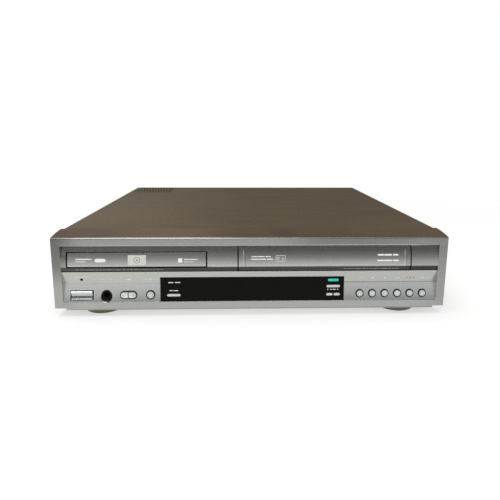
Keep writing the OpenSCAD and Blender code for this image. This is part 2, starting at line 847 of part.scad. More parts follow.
// A round domed button with a collar behind the face
module round_button(x, r) {
    top_y = lower_in(button_z) - 1.8;
    color("#d9dad6") from_front() {
        translate([x, stem_y - 1, button_z]) rotate([90, 0, 0])
            rotate_extrude()
                polygon(concat(
                    [[0, 0], [r, 0]],
                    arc(r - 0.8, stem_y - 1 - top_y - 1.1, 0.8, 0, 60, 4),
                    [[r * 0.5, stem_y - 1 - top_y - 0.12], [0, stem_y - 1 - top_y]]
                ));
        intersection() {
            rod_y(x, button_z, r + button_gap + 0.8, 0, stem_y - 1);
            behind_lower_face(x - 2 * r, x + 2 * r, stem_y - 1);
        }
        button_stem(x, button_z);
    }
}

module tray_button() {
    round_button(tray_button_x, tray_button_r);
}

module transport_button(i) {
    round_button(transport_x + i * transport_pitch, transport_r);
}

// The part of a pill that lies past the given distance on one side
module half_pill(side, w, h, inner) {
    mirror([side < 0 ? 1 : 0, 0])
        intersection() {
            pill(w, h);
            translate([inner, -h]) square([w, 2 * h]);
        }
}

module level_half(side) {
    inner = level_split / 2;
    cap_h = level_h - 2 * button_gap;
    cap_w = level_w - 2 * button_gap;
    front = lower_in(button_z);
    color("#d9dad6") from_front() {
        translate([level_x, 0, button_z]) {
            along_y(front - 0.9, stem_y - 1) half_pill(side, cap_w, cap_h, inner);
            along_y(front - 1.6, front) half_pill(side, cap_w - 1.2, cap_h - 1.2, inner + 0.5);
        }
        intersection() {
            translate([level_x, 0, button_z])
                along_y(0, stem_y - 1) half_pill(side, level_w + 2, level_h + 2, inner);
            behind_lower_face(level_x - level_w, level_x + level_w, stem_y - 1);
        }
        button_stem(level_x + side * (cap_w / 2 + inner) / 2, button_z);
    }
}

module level_down_button() {
    level_half(-1);
}

module level_up_button() {
    level_half(1);
}

scoop = 1.3;

// The face is a ledge, a hollow that a finger finds, and a lip
module power_button() {
    zb = button_z - power_h / 2 + 0.6;
    zt = button_z + power_h / 2 - 0.6;
    half = power_w / 2 - button_gap;
    color("#c9cbc8") from_front() {
        along_x(power_x - half, power_x + half)
            polygon(concat(
                [[stem_y - 1, zt], [1.6, zt], [0.7, zt - 0.7], [0.9, zt - 2.6]],
                [for (i = [0:6]) let (t = i / 6) [
                    1.1 + scoop * sin(180 * t) * (1 - t / 3),
                    zt - 2.9 - t * (zt - zb - 4.4)
                ]],
                [[0.5, zb + 1.1], [0.5, zb + 0.5], [1.1, zb], [stem_y - 1, zb]]
            ));
        intersection() {
            block(power_x - half - 2, power_x + half + 2, 0, stem_y - 1, zb - 1.8, zt + 1.8);
            behind_lower_face(power_x - power_w, power_x + power_w, stem_y - 1);
        }
        button_stem(power_x, button_z);
    }
}

// A small pill button in the display window
module pill_button(b) {
    x = b[0];
    z = b[1];
    w = b[2];
    front = window_in(z);
    back = window_in(z + pill_h) + window_wall + fit;
    color("#e4e5e1") from_front() {
        along_y(front - 0.6, back + 0.5) translate([x, z]) pill(w, pill_h);
        along_y(front - 0.9, front) translate([x, z]) pill(w - 0.8, pill_h - 0.8);
        along_y(back, back + 1) translate([x, z]) pill(w + 0.9, pill_h + 1.8);
        rod_y(x, z, pill_h / 2, back, stem_y);
    }
}

module select_button() {
    pill_button(window_buttons[0]);
}

module copy_button() {
    pill_button(window_buttons[1]);
}

module program_down_button() {
    pill_button(window_buttons[2]);
}

module program_up_button() {
    pill_button(window_buttons[3]);
}

/* Front electronics */

level_stem = level_split / 4 + (level_w / 2 - button_gap) / 2;
row_x = [power_x, level_x - level_stem, level_x + level_stem, tray_button_x];
switch_places = concat(
    [for (x = row_x) [x, button_z]],
    [for (i = [0:transport_n - 1]) [transport_x + i * transport_pitch, button_z]],
    [for (b = window_buttons) [b[0], b[1]]]
);
front_board_z0 = foot_h + wall + 2;
front_board_z1 = strip_z - 2.6;
front_board_x = recess_x - 4;

module front_board() {
    color("#2f5c3c") from_front() difference() {
        union() {
            block(-front_board_x, front_board_x, front_board_y, front_board_y + board_t,
                front_board_z0, front_board_z1);
            for (p = switch_places) {
                block(p[0] - switch_w / 2, p[0] + switch_w / 2, front_board_y - switch_h,
                    front_board_y + board_t / 2, p[1] - switch_w / 2, p[1] + switch_w / 2);
                rod_y(p[0], p[1], plunger_r, switch_y, front_board_y);
            }
            for (x = [disc_x - 25, window_x1 - 70, transport_x + 10])
                block(x - 15, x + 15, front_board_y + board_t / 2, front_board_y + board_t + 5,
                    front_board_z1 - 12, front_board_z1 - 6);
        }
        block(phones_x - phones_half - fit, phones_x + phones_half + fit, front_board_y - cut,
            front_board_y + board_t + cut, button_z - phones_half - fit, button_z + phones_half + fit);
    }
}

phones_half = 6.5;

module phones_socket() {
    front = lower_in(button_z) + 0.6;
    shoulder = lower_in(button_z + phones_half) + wall + fit;
    color("#101010") from_front() difference() {
        union() {
            rod_y(phones_x, button_z, phones_hole_r - 0.5, front, shoulder + 1);
            block(phones_x - phones_half, phones_x + phones_half, shoulder, front + phones_bore_l + 2,
                button_z - phones_half, button_z + phones_half);
        }
        rod_y(phones_x, button_z, phones_bore_r, front - cut, front + phones_bore_l);
    }
}

module display_tube() {
    x = (window_x0 + window_x1) / 2;
    z = window_z + window_h / 2 + 1;
    y1 = front_board_y;
    color("#3a4a48") from_front() {
        block(x - tube_w / 2, x + tube_w / 2, y1 - 5, y1, z - tube_h / 2, z + tube_h / 2);
        rod_x_axis(y1 - 2.5, z, 1.6, x + tube_w / 2 - 1, x + tube_w / 2 + 5);
    }
}

/* Boards and sockets at the back */

module chip(x, y, w, d, h) {
    block(x - w / 2, x + w / 2, y - d / 2, y + d / 2, board_z + board_t / 2, board_z + board_t + h);
}

module can(x, y, r, h) {
    rod_z_axis(x, y, r, board_z + board_t / 2, board_z + board_t + h);
}

module main_board() {
    color("#2f5c3c") from_front() {
        block(main_x0, main_x1, board_y0, board_y1, board_z, board_z + board_t);
        for (c = [[-30, 22], [10, 22], [-30, 40], [80, 26]])
            chip(c[0], board_y0 + c[1] / 2 + 4, 18, 14, 2.4);
        for (i = [0:4])
            can(120 + i * 12, board_y0 + 12, 4, 11);
        chip(40, board_y0 + 14, 30, 6, 9);
    }
}

module power_supply() {
    y = supply_y0;
    color("#8a6a3c") from_front() {
        block(supply_x0, supply_x1, supply_y0, board_y1, board_z, board_z + board_t);
        chip(supply_x0 + 60, y + 40, 40, 36, 30);
        chip(supply_x0 + 60, y + 40, 30, 46, 26);
        can(supply_x0 + 22, y + 24, 11, 32);
        can(supply_x0 + 22, y + 52, 6, 22);
        can(supply_x0 + 22, y + 70, 6, 22);
        can(supply_x1 - 14, y + 20, 8, 25);
        for (i = [0:5])
            chip(supply_x1 - 20, y + 50 + i * 6, 22, 1.6, 34);
        chip(supply_x1 - 20, y + 65, 3, 32, 34);
    }
}

module av_socket(x) {
    front = rear_y + 2;
    difference() {
        union() {
            block(x - av_w / 2, x + av_w / 2, rear_y - 18, front, av_z - av_h / 2, av_z + av_h / 2);
            block(x - av_w / 2 - 3, x + av_w / 2 + 3, rear_y, front,
                av_z - av_h / 2 - 3, av_z + av_h / 2 + 3);
            block(x - av_w / 2 + 4, x + av_w / 2 - 4, rear_y - 18, rear_y - 8, board_z + board_t, av_z);
        }
        translate([0, 0, av_z])
            along_y(front - 12, front + cut)
                polygon([
                    [x - av_w / 2 + 2, av_h / 2 - 2], [x + av_w / 2 - 2, av_h / 2 - 2],
                    [x + av_w / 2 - 2, -av_h / 2 + 6], [x + av_w / 2 - 7, -av_h / 2 + 2],
                    [x - av_w / 2 + 2, -av_h / 2 + 2]
                ]);
    }
    // The tongue that carries the contacts, with a slot for each contact
    difference() {
        block(x - av_w / 2 + 5, x + av_w / 2 - 7, front - 13, front - 3, av_z - 1.4, av_z + 1.6);
        for (i = [0:9])
            for (side = [-1, 1])
                block(x - av_w / 2 + 7 + i * 3.3, x - av_w / 2 + 8.2 + i * 3.3, front - 11, front - 2,
                    av_z + (side > 0 ? 0.9 : -2), av_z + (side > 0 ? 2 : -0.7));
    }
}

module av_sockets() {
    color("#1c1c1c") from_front() for (x = av_x) av_socket(x);
}

module aerial_sockets() {
    color("#a9abab") from_front() difference() {
        union() {
            block(aerial_x - 13, aerial_x + 13, rear_y - sheet_t - 16, rear_y - sheet_t - 0.2,
                board_z + board_t, aerial_z[1] + 12);
            for (z = aerial_z)
                rod_y(aerial_x, z, aerial_r, rear_y - sheet_t - 2, rear_y + 8);
        }
        for (z = aerial_z)
            rod_y(aerial_x, z, aerial_r - 0.7, rear_y - 4, rear_y + 8 + cut);
    }
}

// A barrel stands on a collar that passes through the panel
module phono_sockets() {
    color("#b5a77a") from_front() {
        block(phono_x - 9, phono_x + 2 * phono_pitch + 9, rear_y - sheet_t - 12, rear_y - sheet_t - 0.2,
            board_z + board_t, phono_z + phono_pitch + 9);
        for (col = [0:2])
            for (row = [0:1])
                translate([phono_x + col * phono_pitch, 0, phono_z + row * phono_pitch]) difference() {
                    union() {
                        rod_y(0, 0, phono_collar_r, rear_y - sheet_t - 2, case_d);
                        rod_y(0, 0, phono_r, case_d - 2, total_d);
                    }
                    rod_y(0, 0, 1.65, total_d - 8, total_d + cut);
                }
    }
}

module mains_inlet() {
    front = rear_y + 1.6;
    color("#161616") from_front() {
        difference() {
            union() {
                for (rim = [0, 2])
                    block(inlet_x - inlet_w / 2 - rim, inlet_x + inlet_w / 2 + rim, rear_y - (rim > 0 ? 0 : 14),
                        front, inlet_z - inlet_h / 2 - rim, inlet_z + inlet_h / 2 + rim);
                block(inlet_x - 6, inlet_x + 6, rear_y - 14, rear_y - 6, board_z + board_t, inlet_z);
            }
            along_y(front - 12, front + cut) translate([inlet_x, inlet_z]) pill(16, 8.4);
        }
        for (side = [-1, 1])
            rod_y(inlet_x + side * 4.2, inlet_z, 1.2, front - 12.5, front - 2);
    }
}

/* Disc deck */

leg_r = 4;
groove_z = tray_under + 1.2;
groove_h = 2.4;
tongue_out = 2.4;

module disc_deck_frame() {
    half = deck_w / 2;
    slide = tray_w / 2 + 0.5;
    color("#3b3c3a") from_front() difference() {
        union() {
            translate([disc_x, 0, 0]) {
                block(-half, half, deck_y0, deck_y1, deck_z, deck_z + deck_t);
                both_sides() {
                    block(slide, half, deck_y0, deck_y1, deck_z, rail_z1);
                    block(50, 54, tilt_y - 4, tilt_y + 4, deck_z, tilt_z + 4);
                    for (y = [deck_y0 + 9, deck_y1 - 6])
                        rod_z_axis(half - 5, y, leg_r, floor_top, deck_z + deck_t);
                }
                block(-half, half, deck_y1 - 3, deck_y1, deck_z, tray_under - 1.5);
            }
            rod_z_axis(gear_x, gear_y, rod_r, deck_z, gear_z1 - 0.1);
        }
        translate([disc_x, 0, 0]) {
            block(-50, 50, traverse_y0 - 4, tilt_y - 4.4, deck_z - cut, deck_z + deck_t + cut);
            both_sides()
                block(slide - cut, slide + tongue_out, deck_y0 - cut, deck_y1 + cut,
                    groove_z, groove_z + groove_h);
            rod_x_axis(tilt_y, tilt_z, tilt_pin_r + running, -55, 55);
        }
        rod_z_axis(gear_x + motor_dx, gear_y, 2, deck_z - cut, deck_z + deck_t + cut);
    }
}

// Rounded well and window of the tray
module tray_window() {
    translate([0, disc_y]) {
        intersection() {
            circle(disc_r - 1);
            translate([-window_half, -window_half + 6]) square([2 * window_half, 100]);
        }
    }
}

rack_back = 3;

module disc_tray() {
    half = tray_w / 2;
    y1 = tray_y + tray_l;
    color("#4a4b49") from_front() {
        translate([disc_x, 0, 0]) difference() {
            union() {
                block(-half, half, tray_y, y1, tray_under, tray_top);
                both_sides()
                    block(half - 1, half + tongue_out - 0.2, tray_y + 20, y1,
                        groove_z + 0.3, groove_z + groove_h - 0.3);
            }
            rod_z_axis(0, disc_y, disc_r + 0.6, well_z, tray_top + cut);
            rod_z_axis(0, disc_y, 40.6, well_z - 0.8, tray_top + cut);
            translate([0, 0, tray_under - cut]) linear_extrude(tray_t + 2 * cut) tray_window();
            // Finger rooms at the disc's edge
            both_sides()
                rod_z_axis(disc_r * 0.7, disc_y - disc_r * 0.7, 12, well_z, tray_top + cut);
            // The hollow of the moulding's underside, in front of and behind the well
            block(-half + 12, half - 4, tray_y + 3, disc_y - disc_r - 6, tray_under - cut, tray_under + 1);
            block(-half + 12, half - 4, disc_y + disc_r + 4, y1 - 3, tray_under - cut, tray_top - 2);
        }
        // The rack under the left edge
        block(rack_x - rack_m - rack_back, rack_x - rack_m, tray_y + 15, y1, gear_z0 + 0.1, tray_under);
        translate([rack_x, gear_y, gear_z0 + 0.1])
            linear_extrude(tray_under - gear_z0 - 0.1) rack_teeth(y1 - gear_y);
    }
}

// Rack teeth point along +X; one tooth is centred on the origin and the row runs back from it
module rack_teeth(length) {
    pitch = PI * rack_m;
    half = (pitch / 2 - backlash) / 2;
    slope = tan(20);
    for (i = [-3:floor(length / pitch) - 1])
        translate([0, i * pitch])
            polygon([
                [-rack_m - 0.05, -half - slope * rack_m], [0.8 * rack_m, -half + slope * 0.8 * rack_m],
                [0.8 * rack_m, half - slope * 0.8 * rack_m], [-rack_m - 0.05, half + slope * rack_m]
            ]);
}

module tray_front() {
    z0 = tray_z;
    z1 = tray_z + tray_front_h;
    color("#a9aba6") from_front() difference() {
        along_x(disc_x - tray_front_w / 2, disc_x + tray_front_w / 2)
            polygon(concat(
                bulge_curve(z0 + 0.5, z1 - 1, 6, 0),
                [[bulge_in(z1) + 0.9, z1], [tray_y, z1], [tray_y, z0], [0.7, z0]]
            ));
        // The hollows behind, on both sides of the tray's own end
        translate([disc_x, 0, 0]) both_sides()
            block(tray_w / 2 + 1, tray_front_w / 2 - 1.4, 3.4, tray_y + cut, z0 + 1.4, z1 - 1.4);
    }
}

// Points of one involute tooth flank pair, centred on the X axis
function flank_turn(r, rb) = r <= rb ? 0 :
    let (a = sqrt(r * r / (rb * rb) - 1)) a * 180 / PI - atan(a);
function gear_points(n, m) = let (
    rp = m * n / 2,
    rb = rp * cos(20),
    half = 90 / n - backlash / 4 / rp * 180 / PI,
    radii = [rp - 1.1 * m, rb, rp, rp + 0.4 * m, rp + 0.8 * m]
) [
    for (i = [0:n - 1])
        for (side = [-1, 1])
            for (k = [0:4])
                let (
                    r = radii[side < 0 ? k : 4 - k],
                    a = i * 360 / n + side * (half + flank_turn(rp, rb) - flank_turn(r, rb))
                ) r * [cos(a), sin(a)]
];

// A spool with a V groove, centred on the Z axis
module pulley(r, h, bore) {
    rim = r + 1.1;
    rotate_extrude()
        polygon([
            [bore, 0], [rim, 0], [rim, 0.4], [r, h / 2 - 0.5], [r, h / 2 + 0.5], [rim, h - 0.4],
            [rim, h], [bore, h]
        ]);
}

module tray_gear() {
    bore = rod_r + running;
    color("#e2dfd2") from_front() translate([gear_x, gear_y, 0]) {
        translate([0, 0, pulley_z0]) pulley(gear_pulley_r, pulley_h, bore);
        rod_tube(bore, 4, pulley_z0 + pulley_h / 2, gear_z1 - 0.3);
        translate([0, 0, gear_z0 + 0.4]) linear_extrude(gear_z1 - gear_z0 - 0.7)
            difference() {
                rotate(180 + 180 / gear_n) polygon(gear_points(gear_n, rack_m));
                circle(bore);
            }
    }
}

// A plain sleeve round the Z axis
module rod_tube(inner, outer, z0, z1) {
    translate([0, 0, z0]) linear_extrude(z1 - z0) difference() {
        circle(outer);
        circle(inner);
    }
}

motor_shaft_r = 1;

module tray_motor() {
    x = gear_x + motor_dx;
    z1 = deck_z;
    color("#9fa2a3") from_front() {
        rod_z_axis(x, gear_y, tray_motor_r, z1 - 20, z1);
        rod_z_axis(x, gear_y, 3, z1 - 21.5, z1 - 20);
        rod_z_axis(x, gear_y, motor_shaft_r, z1 - 1, pulley_z0 + pulley_h + 0.8);
    }
}

module tray_pulley() {
    color("#dcd8c8") from_front() translate([gear_x + motor_dx, gear_y, pulley_z0])
        pulley(motor_pulley_r, pulley_h, motor_shaft_r + running);
}

// A loop round two circles on the X axis
module loop_outline(r0, r1, dx) {
    hull() {
        circle(r0, $fn = 48);
        translate([dx, 0]) circle(r1, $fn = 48);
    }
}

module tray_belt() {
    gap = 0.15;
    color("#1d1d1d") from_front()
        translate([gear_x, gear_y, pulley_z0 + pulley_h / 2 - belt_t / 2 + 0.1])
            linear_extrude(belt_t - 0.2) difference() {
                loop_outline(gear_pulley_r + gap + belt_t, motor_pulley_r + gap + belt_t, motor_dx);
                loop_outline(gear_pulley_r + gap, motor_pulley_r + gap, motor_dx);
            }
}

module clamp_bridge() {
    half = deck_w / 2;
    color("#9b9e9e") from_front() translate([disc_x, disc_y, rail_z1]) difference() {
        union() {
            block(-half, half, -13, 13, 0, 1.6);
            rod_z_axis(0, 0, 21, 0, 1.6);
            both_sides()
                for (y = [-13, 11.8])
                    block(20, half, y, y + 1.2, 0, 4.5);
        }
        rod_z_axis(0, 0, 13.2, -cut, 1.6 + cut);
    }
}

module disc_clamp() {
    z = rail_z1 + 1.6 + 0.3;
    color("#2a2b2b") from_front() translate([disc_x, disc_y, 0]) rotate_extrude()
        polygon([
            [0, tray_top + 1], [11, tray_top + 1], [12.4, tray_top + 2.4], [12.4, z], [16, z], [16, z + 1.2],
            [12, z + 1.8], [4, z + 1.8], [4, z + 1], [0, z + 1]
        ]);
}

module traverse_plate() {
    color("#8f9394") from_front() translate([disc_x, 0, 0]) {
        difference() {
            union() {
                block(-traverse_x, traverse_x, traverse_y0, traverse_y1, traverse_z, traverse_z + traverse_t);
                rod_x_axis(tilt_y, tilt_z, tilt_pin_r, -traverse_x - 5.5, traverse_x + 5.5);
                for (x = [-rod_x, rod_x])
                    for (y = [sled_y - 5, sled_y + sled_l + sled_travel + 2])
                        block(x - 3, x + 3, y, y + 3, traverse_z + traverse_t / 2, rod_z + 2.2);
            }
            rod_z_axis(0, disc_y, 7, traverse_z - cut, traverse_z + traverse_t + cut);
            block(-sled_x + 4, sled_x - 4, sled_y + 4, sled_y + sled_l + sled_travel - 6,
                traverse_z - cut, traverse_z + traverse_t + cut);
            for (x = [-rod_x, rod_x])
                rod_y(x, rod_z, rod_r + running, sled_y - 5 - cut, sled_y + sled_l + sled_travel + 5 + cut);
        }
    }
}

module sled_rods() {
    color("#c9cccd") from_front() for (side = [-1, 1])
        rod_y(disc_x + side * rod_x, rod_z, rod_r, sled_y - 5, sled_y + sled_l + sled_travel + 5);
}

module spindle_motor() {
    color("#a5a8a9") from_front() translate([disc_x, disc_y, 0]) difference() {
        union() {
            rod_z_axis(0, 0, 12, traverse_z - 7, traverse_z);
            rod_z_axis(0, 0, 5, traverse_z - cut, traverse_z + traverse_t);
        }
        rod_z_axis(0, 0, motor_shaft_r + running, traverse_z - 6, traverse_z + traverse_t + cut);
    }
}

module turntable() {
    z = turntable_z;
    foot = traverse_z + traverse_t + 0.4;
    color("#303130") from_front() translate([disc_x, disc_y, 0]) rotate_extrude()
        polygon([
            [0, traverse_z - 5.6], [motor_shaft_r, traverse_z - 5.6], [motor_shaft_r, foot], [6, foot],
            [6, z - 2], [turntable_r, z - 2], [turntable_r, z], [7.4, z], [7.2, z + 0.9], [5, z + 1.6],
            [0, z + 1.6]
        ]);
}

module laser_sled() {
    color("#5b5f63") from_front() translate([disc_x, 0, 0]) {
        difference() {
            union() {
                block(-sled_x, sled_x, sled_y, sled_y + sled_l, traverse_z + traverse_t + 0.4, sled_top - 2);
                for (side = [-1, 1])
                    rod_y(side * rod_x, rod_z, rod_r + 1, sled_y, sled_y + sled_l);
                block(-rod_x, rod_x, sled_y, sled_y + sled_l, rod_z - 0.8, rod_z + 0.8);
                rod_z_axis(0, sled_y + 7, 5, sled_top - 3, sled_top - 1);
            }
            for (side = [-1, 1])
                rod_y(side * rod_x, rod_z, rod_r + running, sled_y - cut, sled_y + sled_l + cut);
        }
        rod_z_axis(0, sled_y + 7, 2.2, sled_top - 2, sled_top);
    }
}

/* Cassette deck */

rib_x = [door_x0 + 5.3, door_x1 - 5.9];
rib_z0 = strip_top - 1.8;
rib_z1 = strip_top + 18;

module door_rib(x) {
    intersection() {
        along_y(0.2, 4) polygon([[x - 1.3, rib_z0], [x + 1.3, rib_z0], [x + 0.6, rib_z1], [x - 0.6, rib_z1]]);
        along_x(x - 2, x + 2)
            polygon([
                [0.3, strip_top], [bulge_in(rib_z1) - 0.9, rib_z1], [bulge_in(rib_z1) + 1, rib_z1],
                [1, strip_top]
            ]);
    }
}

// A lug at the door's top corner that carries a hinge pin
module door_lug(x0) {
    along_x(x0, x0 + lug_w)
        polygon([
            [bulge_in(door_z1 - 5) + door_t / 2, door_z1 - 5], [bulge_in(door_z1) + door_t / 2, door_z1],
            [hinge_y - lug_r * 0.9, hinge_z], [hinge_y + lug_r, hinge_z], [hinge_y + lug_r, door_z1 - 3]
        ]);
    rod_x_axis(hinge_y, hinge_z, lug_r, x0, x0 + lug_w);
}

module cassette_door() {
    front = concat([[strip_in, door_z0], [strip_in, strip_top]], bulge_curve(strip_top, door_z1, 8, 0));
    back = concat([[strip_in + door_t, door_z0]], bulge_curve(strip_top + 4, door_z1, 6, door_t));
    color("#a9aba6") from_front() {
        along_x(door_x0, door_x1) polygon(concat(front, reversed(back)));
        for (x = rib_x) door_rib(x);
        door_lug(door_x0);
        door_lug(door_x1 - lug_w);
        rod_x_axis(hinge_y, hinge_z, hinge_pin_r, door_x0 - ear_w - door_gap_z + 0.3, door_x0 + cut);
        rod_x_axis(hinge_y, hinge_z, hinge_pin_r, door_x1 - cut, door_x1 + ear_w + door_gap_z - 0.3);
    }
}

module guide_slot(x0, y0, x1, y1, w) {
    a = atan2(y1 - y0, x1 - x0);
    l = sqrt((x1 - x0) * (x1 - x0) + (y1 - y0) * (y1 - y0));
    translate([(x0 + x1) / 2, (y0 + y1) / 2, deck2_z - cut])
        linear_extrude(deck2_t + 2 * cut) rotate(a) pill(l + w, w);
}

// Start and end of the loading guides, as offsets from the cassette's middle and the drum's middle
guide_from_x = 30;
guide_to_x = 42;
guide_from_y = drum_y - 56;
guide_to_y = drum_y - 4;

module cassette_deck_plate() {
    color("#9b9e9e") from_front() difference() {
        union() {
            block(cassette_x - deck2_x, cassette_x + deck2_x, cage_y0, deck2_y1, deck2_z, deck2_top);
            for (x = [cassette_x - deck2_x + 3, cassette_x + deck2_x - 3])
                for (y = [cage_y0 + 6, deck2_y1 - 6])
                    rod_z_axis(x, y, 3, floor_top, deck2_top);
            for (side = [-1, 1])
                rod_z_axis(cassette_x + side * reel_pitch / 2, reel_y, 2, deck2_z, deck2_top + 14);
            rod_z_axis(pinch_x, pinch_y, 2, deck2_z, deck2_top + 16);
            // Locating pins for the cassette
            for (side = [-1, 1])
                rod_z_axis(cassette_x + side * 72, reel_y - 20, 2.5, deck2_z, deck2_top + 4.6);
        }
        rod_z_axis(capstan_x, capstan_y, capstan_r + running, deck2_z - cut, deck2_top + cut);
        for (side = [-1, 1])
            guide_slot(cassette_x + side * guide_from_x, guide_from_y,
                cassette_x + side * guide_to_x, guide_to_y, 4);
    }
}

module guide_plates() {
    color("#8f9394") from_front() translate([cassette_x, 0, 0]) both_sides()
        difference() {
            block(guide_x, guide_x + guide_t, cage_y0, guide_y1, deck2_top, slider_top);
            block(guide_x - cut, guide_x + guide_t + cut, cage_y0 + 6, cage_y1 + carrier_in - 5 + fit,
                runner_z - fit, runner_z + runner_h + fit);
        }
}

module carrier_slider() {
    y0 = cage_y0 + 6;
    y1 = cage_y1 - 6;
    low = cassette_z + pin_lift - carrier_down - 4;
    color("#b4b7b7") from_front() translate([cassette_x, 0, 0]) {
        difference() {
            union() {
                block(-slider_x - slider_t, slider_x + slider_t, y0 + 4, y1 - 4,
                    slider_top - slider_t, slider_top);
                both_sides() {
                    block(slider_x, slider_x + slider_t, y0, y1, low, slider_top);
                    block(slider_x, guide_x + runner_out, y0 + fit + 0.2, y1, runner_z, runner_z + runner_h);
                }
            }
            both_sides()
                for (y = [pin_y0, pin_y1])
                    block(slider_x - cut, slider_x + slider_t + cut, y - slot_half, y + slot_half,
                        cassette_z + pin_lift - carrier_down - slot_half - 0.2,
                        cassette_z + pin_lift + slot_half);
            block(-60, 60, y0 + 18, y1 - 18, slider_top - slider_t - cut, slider_top + cut);
        }
    }
}

module cassette_carrier() {
    color("#c5c8c8") from_front() translate([cassette_x, 0, 0]) {
        both_sides() {
            // Side wall, the ledge that the cassette rides on, and the guide pins
            block(cage_x, cage_x + carrier_t, cage_y0, cage_y1, cassette_z - carrier_t, cage_top + carrier_t);
            block(cage_x - 12, cage_x, cage_y0, cage_y1, cassette_z - carrier_t, cassette_z);
            for (y = [pin_y0, pin_y1])
                rod_x_axis(y, cassette_z + pin_lift, pin_r,
                    cage_x + carrier_t / 2, slider_x + slider_t - 0.2);
        }
        difference() {
            block(-cage_x, cage_x, cage_y0, cage_y1, cage_top, cage_top + carrier_t);
            block(-cage_x + 26, -12, cage_y0 + 16, cage_y1 - 16, cage_top - cut, cage_top + carrier_t + cut);
            block(12, cage_x - 26, cage_y0 + 16, cage_y1 - 16, cage_top - cut, cage_top + carrier_t + cut);
        }
    }
}

// Local frame of the leaning head drum, with Z = 0 on top of the deck plate
module at_drum() {
    translate([cassette_x, drum_y, deck2_top + 4]) rotate([-drum_tilt, 0, 0]) children();
}

drum_gap_z = 15;

module drum_base() {
    color("#b9bcbd") from_front() {
        at_drum() difference() {
            rotate_extrude()
                polygon([
                    [2.5 + running, 1], [drum_r, 1], [drum_r, drum_gap_z - 0.4], [drum_r - 0.5, drum_gap_z],
                    [2.5 + running, drum_gap_z]
                ]);
            rod_z_axis(0, 0, 22, -cut, 8);
        }
        // Foot under the drum, cut level with the deck plate
        difference() {
            at_drum() rod_z_axis(0, 0, drum_r - 6, -8, 3);
            block(cassette_x - 50, cassette_x + 50, drum_y - 50, drum_y + 50, deck2_top - 30, deck2_top);
            at_drum() rod_z_axis(0, 0, 22, -9, 4);
        }
    }
}

module head_drum() {
    z = drum_gap_z + 0.3;
    color("#d4d6d7") from_front() at_drum() {
        rotate_extrude()
            polygon([
                [0, 9], [2.5, 9], [2.5, z], [drum_r - 0.5, z], [drum_r, z + 0.5], [drum_r, z + 13],
                [drum_r - 1, z + 14], [24, z + 14], [22, z + 12], [9, z + 12], [9, z + 16], [0, z + 16]
            ]);
    }
}

module capstan() {
    top = deck2_z - 3;
    color("#a7aaab") from_front() translate([capstan_x, capstan_y, 0]) rotate_extrude()
        polygon([
            [0, top - 4], [flywheel_r - 1, top - 4], [flywheel_r, top - 3], [flywheel_r, top], [5, top],
            [5, deck2_z - 0.4], [capstan_r, deck2_z - 0.4], [capstan_r, deck2_top + 30], [0, deck2_top + 30]
        ]);
}

// A reel table with a hub that carries three driving fins
module reel(side) {
    z = deck2_top;
    from_front() translate([cassette_x + side * reel_pitch / 2, reel_y, 0]) {
        rotate_extrude()
            polygon([
                [2 + running, z + 0.3], [reel_r, z + 0.3], [reel_r, z + 3.4], [hub_r + 2, z + 4],
                [hub_r, z + 4.6], [hub_r, z + 11], [hub_r - 2.5, z + 14], [2 + running, z + 14]
            ]);
        for (a = [0, 120, 240])
            rotate(a) block(hub_r - 1, hub_r + 2, -0.8, 0.8, z + 3.5, z + 10.5);
    }
}

module supply_reel() {
    color("#e4e2da") reel(-1);
}

module take_up_reel() {
    color("#e4e2da") reel(1);
}

// The arm at rest points straight along -Y from its pivot
roller_x = pinch_x + 1.5;
roller_y = pinch_y - pinch_l;

module pinch_arm() {
    z = deck2_top + 0.3;
    color("#8f9394") from_front() difference() {
        union() {
            rod_z_axis(pinch_x, pinch_y, 4.5, z, z + 12);
            rod_z_axis(roller_x, roller_y, 4.5, z, z + 2);
            rod_z_axis(roller_x, roller_y, 1.5, z, z + 20);
            translate([pinch_x, pinch_y, z]) rotate(-90 + atan2(roller_x - pinch_x, pinch_l))
                block(0, pinch_l, -4, 4, 0, 2);
        }
        rod_z_axis(pinch_x, pinch_y, 2 + running, z - cut, z + 12 + cut);
    }
}

module pinch_roller() {
    z = deck2_top + 2.6;
    color("#1b1b1b") from_front() translate([roller_x, roller_y, 0]) rotate_extrude()
        polygon([
            [1.5 + running, z], [pinch_r - 1.5, z], [pinch_r - 1.5, z + 1], [pinch_r, z + 1],
            [pinch_r, z + 15], [pinch_r - 1.5, z + 15], [pinch_r - 1.5, z + 16], [1.5 + running, z + 16]
        ]);
}

// A loading guide: a shoe on the deck plate, a roller post and an inclined post beside it
module tape_guide(side) {
    x = cassette_x + side * guide_from_x;
    y = guide_from_y;
    z = deck2_top + 0.3;
    color("#c9cccd") from_front() {
        block(x - 5, x + 5, y - 7, y + 7, z, z + 3);
        rod_z_axis(x, y, 1.8, deck2_z - 0.5, z + 1);
        translate([x, y + 3, z + 2]) rotate_extrude()
            polygon([
                [0, 0], [2, 0], [2, 2], [3.4, 2], [3.4, 3], [2.4, 3.4], [2.4, 15.6], [3.4, 16],
                [3.4, 17], [0, 17]
            ]);
        translate([x, y - 4, z + 2]) rotate([0, side * 6, 0]) rod_z_axis(0, 0, 1.2, 0, 16);
    }
}

module left_tape_guide() {
    tape_guide(-1);
}

module right_tape_guide() {
    tape_guide(1);
}

